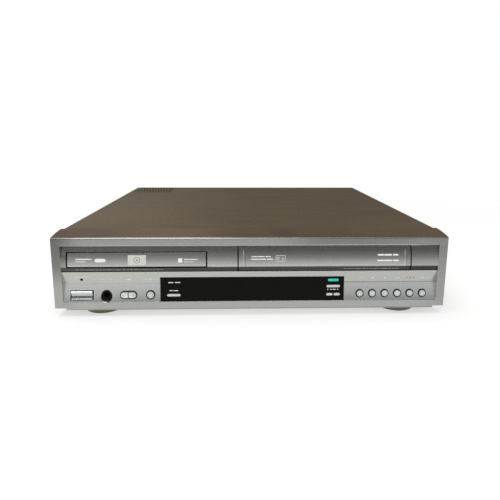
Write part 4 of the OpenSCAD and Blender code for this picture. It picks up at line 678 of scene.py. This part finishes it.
for part in subparts:
    dress(nodes[part["node"]], finishes[part["material_slot"]])
print("dressed", len(subparts), "nodes with", len(finishes), "finishes")

# %% [markdown]
# ## Printed marks
#
# The front carries small plain signs over its buttons. Ink could be painted in the shader, but
# ink that is a thin raised solid keeps a sharp edge at any distance, and it can be picked up
# and moved. Each sign is a flat plate, extruded by a tenth of a millimetre and leaned back to
# lie on the face behind it. A triangle is a circle of three sides, and a pill is a circle pulled
# apart at the middle.

# %% Ink and lens finishes
ink_pale = moulded("ink_pale", shade(226, 227, 224), 0.5, 0.0005, 0.000004)
ink_red = moulded("ink_red", shade(206, 122, 112), 0.5, 0.0005, 0.000004)
ink_grey = moulded("ink_grey", shade(150, 151, 148), 0.5, 0.0005, 0.000004)
lens_teal = moulded("lens_teal", shade(40, 188, 166), 0.25, 0.0008, 0.000004, 0.4, 0.3, 0.0)
print("materials after the inks", len(bpy.data.materials))

# %% Helpers for signs
MM = 0.001
ink_t, ink_lift = 0.12 * MM, 0.02 * MM
triangle_w, triangle_h = 1.732, 1.5


def plate(kind, x, z, w, h):
    """One upright flat shape in the plane Y = 0: a bar, a pill, a disc, a ring or a triangle.

    A ring is w across outside and h across inside. A triangle points the way its kind says."""
    upright = (math.radians(90), 0, 0)
    where = (x * MM, 0, z * MM)
    stretch = (1, 1, 1)
    if kind == "bar":
        thing = start("plane", kind, size=1, location=where, rotation=upright)
        stretch = (w * MM, 1, h * MM)
    elif kind in ("pill", "disc", "ring"):
        across, corners = (w, 32) if kind == "ring" else (h, 24)
        thing = start(
            "circle", kind, vertices=corners, radius=across * MM / 2, fill_type="NGON",
            location=where, rotation=upright,
        )
    else:
        angle = {"left": -90, "right": 90, "up": 0, "down": 180}[kind]
        turned = (math.radians(90), math.radians(angle), 0)
        thing = start(
            "circle", kind, vertices=3, radius=1, fill_type="NGON", location=where, rotation=turned
        )
        lies = kind in ("left", "right")
        full_w, full_h = (triangle_h, triangle_w) if lies else (triangle_w, triangle_h)
        stretch = (w / full_w * MM, 1, h / full_h * MM)
    bpy.ops.object.transform_apply(location=True, rotation=True, scale=True)
    mesh = edit(thing)
    bpy.ops.transform.resize(value=stretch, center_override=where)
    if kind == "pill":
        for side in (-1, 1):
            choose(mesh, thing, lambda co: side * (co.x - x * MM) > 1e-7)
            bpy.ops.transform.translate(value=(side * (w - h) / 2 * MM, 0, 0))
    if kind == "ring":
        bpy.ops.mesh.inset(thickness=(w - h) / 2 * MM)
        bpy.ops.mesh.delete(type="FACE")
    shaped()
    return thing


def join(name, things):
    deselect()
    for t in things:
        t.select_set(True)
    bpy.context.view_layer.objects.active = things[0]
    if len(things) > 1:
        bpy.ops.object.join()
    bpy.context.object.name = name
    return bpy.context.object


def thicken(offset):
    """Extrudes what is selected by an offset and turns every face of the piece outward."""
    bpy.ops.mesh.extrude_region_move(TRANSFORM_OT_translate={"value": offset})
    bpy.ops.mesh.select_all(action="SELECT")
    bpy.ops.mesh.normals_make_consistent(inside=False)


def sign(name, shapes, depth, lean, finish, body="case"):
    """A printed sign: flat shapes given a thickness, leaned about their middle and set on a face.

    depth is how far behind the front plane its middle lies and lean is the face's slope."""
    thing = join(name, [plate(*s) for s in shapes])
    edit(thing)
    thicken((0, -ink_t, 0))
    middle = sum(s[2] for s in shapes) / len(shapes) * MM
    bpy.ops.transform.rotate(value=lean, orient_axis="X", center_override=(0, 0, middle))
    bpy.ops.transform.translate(value=(0, front_y + depth, 0))
    shaped()
    dress(thing, finish)
    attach(thing, body)
    return thing


print("ink", ink_t * 1000, "mm thick")

# %% Signs over the transport buttons
band_lean = math.atan((crease_in - rail_in) / (strip_z - crease_z))
sign_z = 41.7
sign_depth = face_depth(sign_z * MM)
buttons = ["transport_button_%d" % (i + 1) for i in range(6)]


def middle_of(node):
    lo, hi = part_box(node)
    return (lo + hi) / 2


def middle_x(node):
    return middle_of(node).x / MM


side_bars = [("bar", -4.0, 0, 2.6, 0.7), ("bar", 4.0, 0, 2.6, 0.7)]
two_bars = [("bar", -0.8, 0, 0.8, 2.0), ("bar", 0.8, 0, 0.8, 2.0)]
signs = [
    ("rewind_sign", [("left", -1.1, 0, 2.0, 2.0), ("left", 1.1, 0, 2.0, 2.0)], ink_pale),
    ("stop_sign", [("bar", 0, 0, 1.9, 1.9)], ink_pale),
    ("play_sign", [("right", 0, 0, 2.2, 2.2)], ink_pale),
    ("forward_sign", [("right", -1.1, 0, 2.0, 2.0), ("right", 1.1, 0, 2.0, 2.0)], ink_pale),
    ("record_sign", [("disc", 0, 0, 2.1, 2.1), *side_bars], ink_red),
    ("pause_sign", [*two_bars, ("bar", 4.5, 0, 4.0, 0.6)], ink_pale),
]
for button, (name, shapes, finish) in zip(buttons, signs):
    placed = [(k, middle_x(button) + x, sign_z + z, w, h) for k, x, z, w, h in shapes]
    sign(name, placed, sign_depth - ink_lift, -band_lean, finish)
print("transport signs", len(signs))

# %% [markdown]
# ### Signs on the left
#
# A machine like this has plain signs over its left-hand controls too: broken lines over the lamp,
# a pair of headphones, a wedge that grows with the level, and the open-and-close arrow. A ring is
# a circle that is inset and loses its middle.

# %% Signs over the left-hand controls
lamp_x, socket_x, tray_x = middle_x("standby_lamp"), phones_x / MM, middle_x("tray_button")
level_x = (middle_x("level_down_button") + middle_x("level_up_button")) / 2
lamp_sign_z, band_z = 45, sign_z + 0.2
left_signs = [
    ("lamp_sign", [
        ("bar", lamp_x - 5.6, lamp_sign_z, 4.6, 0.7), ("bar", lamp_x, lamp_sign_z, 5.4, 0.7),
        ("bar", lamp_x + 6, lamp_sign_z, 5.2, 0.7),
    ]),
    ("phones_sign", [
        ("bar", socket_x, band_z + 1.0, 2.6, 0.4), ("bar", socket_x - 1.3, band_z, 0.4, 2.0),
        ("bar", socket_x + 1.3, band_z, 0.4, 2.0), ("bar", socket_x - 4.2, sign_z, 3.4, 0.6),
        ("bar", socket_x + 4.2, sign_z, 3.4, 0.6),
    ]),
    ("level_sign", [("left", level_x, sign_z, 9.0, 1.6)]),
    ("open_sign", [
        ("up", tray_x, sign_z + 0.3, 2.6, 1.6), ("bar", tray_x, sign_z - 1.0, 2.6, 0.5),
        ("bar", tray_x - 5.2, sign_z, 4.6, 0.6), ("bar", tray_x + 5.2, sign_z, 4.6, 0.6),
    ]),
]
for name, shapes in left_signs:
    middle_z = sum(shape[2] for shape in shapes) / len(shapes)
    sign(name, shapes, face_depth(middle_z * MM) - ink_lift, -band_lean, ink_pale)
print("left signs", len(left_signs))

# %% [markdown]
# ### Signs in the window
#
# The dark window carries small signs beside its four buttons and one pale green lamp at the top
# right. The window leans back a little, so the signs take their depth and lean from it.

# %% Signs and lamp in the window
window_lo, window_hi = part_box("display_window")
window_front, window_back = 0.001, 0.0022
window_lean = math.atan((window_back - window_front) / (window_hi.z - window_lo.z))


def window_depth(z):
    return window_front + (z * MM - window_lo.z) * math.tan(window_lean)


copy_x, select_x = middle_x("copy_button"), middle_x("select_button")
window_signs = [
    ("deck_signs", [
        ("bar", select_x - 3.2, 38.2, 5.4, 1.0), ("bar", select_x + 4.2, 38.2, 5.6, 1.0),
    ], ink_pale),
    ("select_sign", [
        ("bar", select_x - 2.9, 29.0, 3.6, 0.9), ("bar", select_x + 2.2, 29.0, 5.0, 0.9),
    ], ink_pale),
    ("programme_signs", [
        ("down", copy_x - 5.9, 29.3, 1.8, 1.5), ("bar", copy_x - 2.2, 29.3, 2.2, 0.8),
        ("bar", copy_x + 1.3, 29.3, 3.6, 0.8), ("up", copy_x + 5.1, 29.3, 1.8, 1.5),
    ], ink_pale),
    ("copy_lamp", [("pill", copy_x, 40.0, 12.2, 3.0)], lens_teal),
]
for name, shapes, finish in window_signs:
    sign(name, shapes, window_depth(shapes[0][2]) + ink_lift, window_lean, finish)
print("window signs", len(window_signs), "lean", round(math.degrees(window_lean), 1))

# %% [markdown]
# ### Fine print and pictures on the upper face
#
# The dark strip carries a row of very fine print at each side. At this size print is only a
# rhythm of short strokes, so each row is a run of small bars of changing length. The tray and the
# cassette door carry plain pictures of what goes in behind them: a disc, and a cassette with its
# two hubs. The door swings and the tray slides, so what is printed on them rides on them, and its
# place is measured from their ends.
#
# A small mark can lie flat against the curve. The disc's label is too tall for that, so it is cut
# into rows, and each row of vertices is moved to the depth of the curve at its own height.

# %% Fine print in the strip
stroke_lengths, stroke_h, stroke_gap, print_z = (3.2, 5.0, 2.0, 6.2, 3.8, 2.6), 0.65, 1.0, 53.5


def ends_of(node):
    """Where a piece starts and ends across the front, in millimetres."""
    lo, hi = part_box(node)
    return lo.x / MM, hi.x / MM


tray_left, tray_right = ends_of("tray_front")
door_left, door_right = ends_of("cassette_door")


def print_row(name, x0, x1, body):
    """A run of short strokes that fills the stretch from x0 to x1."""
    strokes, x = [], x0
    while x < x1:
        length = min(stroke_lengths[len(strokes) % len(stroke_lengths)], x1 - x)
        strokes.append(("bar", x + length / 2, print_z, length, stroke_h))
        x += length + stroke_gap
    return sign(name, strokes, strip_in - ink_lift, 0, ink_grey, body)


print_row("strip_print_left", tray_left + 8.6, tray_left + 101.6, "case")
print_row("strip_print_right", door_right - 77.3, door_right - 16.3, "cassette_door")
print("strip print at", print_z, "mm")


# %% Pictures on the tray
def curve_depth(z):
    return curve_r - math.sqrt(curve_r**2 - (z * MM - strip_top) ** 2)


def curve_lean(z):
    return math.asin((z * MM - strip_top) / curve_r)


def picture(name, shapes, body):
    """Flat shapes that lie against the curved face at their middle height."""
    middle_z = sum(shape[2] for shape in shapes) / len(shapes)
    depth = curve_depth(middle_z) + ink_lift
    return sign(name, shapes, depth, curve_lean(middle_z), ink_pale, body)


def bent(name, shapes, depth, finish, body, cuts=0):
    """Flat shapes that bend with the curved face, one row of vertices at a time."""
    thing = join(name, [plate(*s) for s in shapes])
    mesh = edit(thing)
    if cuts:
        bpy.ops.mesh.subdivide(number_cuts=cuts)
    for level in sorted({round(v.co.z, 6) for v in mesh.verts}):
        choose(mesh, thing, lambda co: abs(co.z - level) < 6e-7)
        bpy.ops.transform.translate(value=(0, curve_depth(level / MM), 0))
    bpy.ops.mesh.select_all(action="SELECT")
    thicken((0, -ink_t, 0))
    bpy.ops.transform.translate(value=(0, front_y + depth, 0))
    shaped()
    dress(thing, finish)
    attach(thing, body)
    return thing


tray_middle, label_z, label_lift, disc_lift = middle_x("tray_front"), 64.3, 0.1 * MM, 0.04 * MM
label_tint = moulded("label_tint", shade(202, 202, 195), 0.5, 0.0005, 0.000004)
bent("disc_label", [("bar", tray_middle, label_z, 19.6, 11.0)], label_lift, label_tint, "tray", 7)
disc_rings = [("ring", tray_middle, label_z, 7.0, 5.8), ("ring", tray_middle, label_z, 2.6, 1.2)]
bent("disc_picture", disc_rings, disc_lift, ink_grey, "tray")
tray_pictures = (
    ("tray_lines_left", [
        ("bar", tray_left + 17.4, 65.6, 17.0, 1.1), ("bar", tray_left + 14.2, 62.9, 10.6, 0.8),
    ]),
    ("tray_pill", [("pill", tray_left + 35.0, 64.2, 11.6, 4.0)]),
    ("tray_square", [("bar", tray_right - 27.7, 63.9, 4.6, 4.6)]),
    ("tray_lines_right", [
        ("bar", tray_right - 16.3, 65.0, 14.6, 1.0), ("bar", tray_right - 17.8, 62.4, 11.0, 0.6),
    ]),
)
for name, shapes in tray_pictures:
    picture(name, shapes, "tray")
print("pictures on the tray", len(tray_pictures) + 2)

# %% Pictures on the door
door_lines = (
    ("left_upper", door_left + 28.3, 67.6, 21, 1.0),
    ("left_lower", door_left + 29.3, 64.8, 24, 1.1),
    ("right_upper", door_right - 28.7, 69, 23, 1.9),
    ("right_lower", door_right - 28.7, 62.8, 24, 1.7),
)
word_places = ((-0.35, 0.3), (0.0, 0.36), (0.36, 0.26))
for name, x, z, length, h in door_lines:
    words = [("bar", x + length * k, z, length * w, h) for k, w in word_places]
    picture("door_line_%s" % name, words, "cassette_door")
cassette_x, cassette_z, hub_x = door_left + 49.3, 65.6, 2.4
shell_w, shell_h, shell_line = 10.4, 6.5, 0.5
cassette = [("ring", cassette_x + side * hub_x, cassette_z, 2.6, 1.6) for side in (-1, 1)]
cassette += [("bar", cassette_x, cassette_z + side * 3.0, shell_w, shell_line) for side in (1, -1)]
cassette += [("bar", cassette_x + side * 5.0, cassette_z, shell_line, shell_h) for side in (-1, 1)]
picture("cassette_picture", cassette, "cassette_door")
print("pictures on the door", len(door_lines) + 1)

# %% [markdown]
# ### Rings and signs on the caps
#
# Each round cap has a fine ring turned into its face, drawn as a grey ring whose tone is painted
# shade. It is made once, as a ring with its edges bevelled, and copied to every cap with a mesh
# of its own, so each can ride on its own button.

# %% Cap rings
# A grey that is painted shade in the rings turned into the caps, and print for the minus and plus
ring_shade = moulded("ring_shade", shade(150, 151, 149), 0.4, 0.0006, 0.000004)
ring_t, ring_w, ring_bevel = 0.3 * MM, 0.35, 0.08 * MM


def copied(thing, name, step):
    """A copy with a mesh of its own, moved by a step."""
    made = thing.copy()
    made.data = thing.data.copy()
    made.name = name
    scene.collection.objects.link(made)
    made.data.transform(Matrix.Translation(step))
    return made


def cap_ring(name, node, outer):
    """A low bevelled ring on the face of one round button."""
    middle = middle_of(node)
    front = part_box(node)[0].y
    thing = plate("ring", middle.x / MM, middle.z / MM, outer, outer - 2 * ring_w)
    thing.name = name
    edit(thing)
    thicken((0, -ring_t, 0))
    bpy.ops.mesh.bevel(offset=ring_bevel, segments=2, affect="EDGES")
    bpy.ops.transform.translate(value=(0, front + ring_t, 0))
    shaped()
    dress(thing, ring_shade)
    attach(thing, node)
    return thing


first_ring = cap_ring("cap_ring_1", buttons[0], 4.4)
for i, node in enumerate(buttons[1:], 2):
    ring = copied(first_ring, "cap_ring_%d" % i, middle_of(node) - middle_of(buttons[0]))
    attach(ring, node)
cap_ring("tray_button_ring", "tray_button", 5.0)
print("cap rings", len(buttons) + 1)

# %% Minus and plus on the level caps
level_signs = (
    ("minus_sign", "level_down_button", [(2.4, 0.6)]),
    ("plus_sign", "level_up_button", [(2.4, 0.6), (0.6, 2.4)]),
)
for name, node, bars in level_signs:
    cap = middle_of(node)
    shapes = [("bar", cap.x / MM, cap.z / MM, w, h) for w, h in bars]
    sign(name, shapes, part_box(node)[0].y - front_y + ink_lift, 0, ring_shade, node)
print("level signs", len(level_signs))

# %% [markdown]
# ### Feet and vent
#
# Each foot is a shallow cup of bronze-painted plastic. The frame's foot carries the weight, and a
# thin skirt round it gives the turned outer wall that shows under the front. It starts as a
# cylinder, whose two ends are inset and then bridged into a tube, so that the foot stays open to
# its rubber pad. Under the vent lies a dark sheet of painted shade, which makes the vent holes
# read dark.

# %% Foot skirts
skirt_r, skirt_wall, skirt_low, skirt_high = 22.3 * MM, 1.6 * MM, 0.3 * MM, 6.3 * MM
foot_r, rim_bevel = 21.5 * MM, 0.5 * MM
feet_lo, feet_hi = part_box("feet")


def foot_skirt(name, x, y):
    """A turned wall round one foot, from a cylinder that is inset, bridged and bevelled."""
    where = (x, y, (skirt_low + skirt_high) / 2)
    height = skirt_high - skirt_low
    thing = start("cylinder", name, vertices=72, radius=skirt_r, depth=height, location=where)
    bpy.ops.object.transform_apply(location=True)
    mesh = edit(thing)
    bpy.ops.mesh.select_mode(type="FACE")
    for face in mesh.faces:
        face.select_set(abs(face.normal.z) > 0.5)
    bpy.ops.mesh.inset(thickness=skirt_wall, use_individual=True)
    bpy.ops.mesh.bridge_edge_loops()
    bpy.ops.mesh.select_mode(type="EDGE")
    for edge in mesh.edges:
        rim = [v.co for v in edge.verts]
        level = all(abs(v.z - rim[0].z) < 1e-7 for v in rim)
        edge.select_set(level and all(math.hypot(v.x - x, v.y - y) > skirt_r - 1e-5 for v in rim))
    bpy.ops.mesh.bevel(offset=rim_bevel, segments=3, affect="EDGES")
    shaped()
    bpy.ops.object.shade_smooth_by_angle(angle=math.radians(40))
    dress(thing, foot_plastic)
    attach(thing, "case")
    return thing


foot_places = [
    (x, y)
    for x in (feet_lo.x + foot_r, feet_hi.x - foot_r)
    for y in (feet_lo.y + foot_r, feet_hi.y - foot_r)
]
first_skirt = foot_skirt("foot_skirt_1", *foot_places[0])
for i, (x, y) in enumerate(foot_places[1:], 2):
    step = (x - foot_places[0][0], y - foot_places[0][1], 0)
    skirt = copied(first_skirt, "foot_skirt_%d" % i, step)
    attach(skirt, "case")
print("foot skirts at", [[round(v, 3) for v in place] for place in foot_places])

# %% Dark sheet under the vent, as painted shade
# A near black sheet below the vent holes: painted shade inside the case
vent_shade = moulded("vent_shade_black", shade(24, 22, 20), 0.8, 0.0015, 0.0001, 0.1, dust=0.02)
cover_lo, cover_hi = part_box("top_cover")
sheet_w, sheet_d, sheet_thick, sheet_drop = 76 * MM, 62 * MM, 0.5 * MM, 2.2 * MM
side_gap, rear_gap, fold = 8 * MM, 4 * MM, 4 * MM
sheet_middle = (
    cover_lo.x + side_gap + sheet_w / 2, cover_hi.y - rear_gap - sheet_d / 2, cover_hi.z - sheet_drop
)
sheet = start("plane", "vent_shade_sheet", size=1, location=sheet_middle)
bpy.ops.object.transform_apply(location=True)
mesh = edit(sheet)
bpy.ops.transform.resize(value=(sheet_w, sheet_d, 1), center_override=sheet_middle)
bpy.ops.mesh.extrude_region_move(TRANSFORM_OT_translate={"value": (0, 0, -sheet_thick)})
choose(mesh, sheet, lambda co: co.y < sheet_middle[1])
thicken((0, -fold, -fold))
shaped()
dress(sheet, vent_shade)
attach(sheet, "case")
print("fibre sheet", round(sheet_w, 3), "by", round(sheet_d, 3))

# %% [markdown]
# ### Behind: contacts and screw heads
#
# The two wide sockets hold rows of springy contact blades, and each case screw has a cross driven
# into its head, drawn as thin dark plates of painted shade. A blade is a small plate bent down at
# its tip, made by one function at each place along the tongue. All the blades of a socket are
# joined, because they are one pressing in the real one.

# %% Contact blades
av_lo, av_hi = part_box("av_sockets")
blade_w, blade_l, blade_t, tip_l, tip_drop = 0.9 * MM, 7.5 * MM, 0.2 * MM, 0.6 * MM, 0.5 * MM
first_blade, blade_pitch, blades_in_row, socket_pitch = 10.6 * MM, 3.3 * MM, 10, 58 * MM
tongue_y, slot_low, slot_high = av_hi.y - 10.5 * MM, av_lo.z + 10.3 * MM, av_lo.z + 11.9 * MM


def blade(x, z, up):
    """One contact: a flat spring with its tip bent towards the tongue."""
    where = (x, tongue_y + blade_l / 2, z)
    thing = start("plane", "blade", size=1, location=where)
    bpy.ops.object.transform_apply(location=True)
    mesh = edit(thing)
    bpy.ops.transform.resize(value=(blade_w, blade_l, 1), center_override=where)
    choose(mesh, thing, lambda co: co.y > where[1])
    bpy.ops.mesh.extrude_region_move(TRANSFORM_OT_translate={"value": (0, tip_l, -up * tip_drop)})
    bpy.ops.mesh.select_all(action="SELECT")
    thicken((0, 0, up * blade_t))
    shaped()
    return thing


for number, left in enumerate((av_lo.x, av_lo.x + socket_pitch), 1):
    row = [
        blade(left + first_blade + i * blade_pitch, z, up)
        for i in range(blades_in_row)
        for z, up in ((slot_low, -1), (slot_high, 1))
    ]
    contacts = join("av_contacts_%d" % number, row)
    dress(contacts, bright_steel)
    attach(contacts, "case")
print("contact blades", 2 * 2 * blades_in_row)

# %% Crosses in the screw heads
screw_lo, screw_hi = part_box("case_screws")
cross_l, cross_w, cross_t, cross_lift = 3.4 * MM, 0.8 * MM, 0.1 * MM, 0.04 * MM
cross_shade_black = moulded("cross_shade_black", shade(14, 13, 12), 0.6, 0.0004, 0.00001, 0.2)
side_y, side_z = (front_y + 90 * MM, front_y + 290 * MM), 24 * MM
rear_inset = 62 * MM
rear_x, rear_z = (cover_lo.x + rear_inset, 0, cover_hi.x - rear_inset), cover_hi.z - 5.8 * MM


def cross(where, out):
    """Two crossed slots in one head that faces along out, as thin dark plates of painted shade."""
    across = Vector((0, 0, 1)).cross(out)
    bars = []
    for length, width in ((cross_l, cross_w), (cross_w, cross_l)):
        thing = start("plane", "slot", size=1)
        edit(thing)
        bpy.ops.transform.resize(value=(length, width, 1))
        thicken((0, 0, cross_t))
        shaped()
        frame_of_head = Matrix((across, across.cross(out) * -1, out)).transposed().to_4x4()
        thing.data.transform(Matrix.Translation(where) @ frame_of_head)
        bars.append(thing)
    return bars


crosses = []
for y in side_y:
    crosses += cross(Vector((screw_lo.x + cross_lift, y, side_z)), Vector((-1, 0, 0)))
    crosses += cross(Vector((screw_hi.x - cross_lift, y, side_z)), Vector((1, 0, 0)))
for x in rear_x:
    crosses += cross(Vector((x, screw_hi.y - cross_lift, rear_z)), Vector((0, 1, 0)))
screw_crosses = join("screw_crosses", crosses)
dress(screw_crosses, cross_shade_black)
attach(screw_crosses, "case")
print("crosses", len(crosses) // 2)
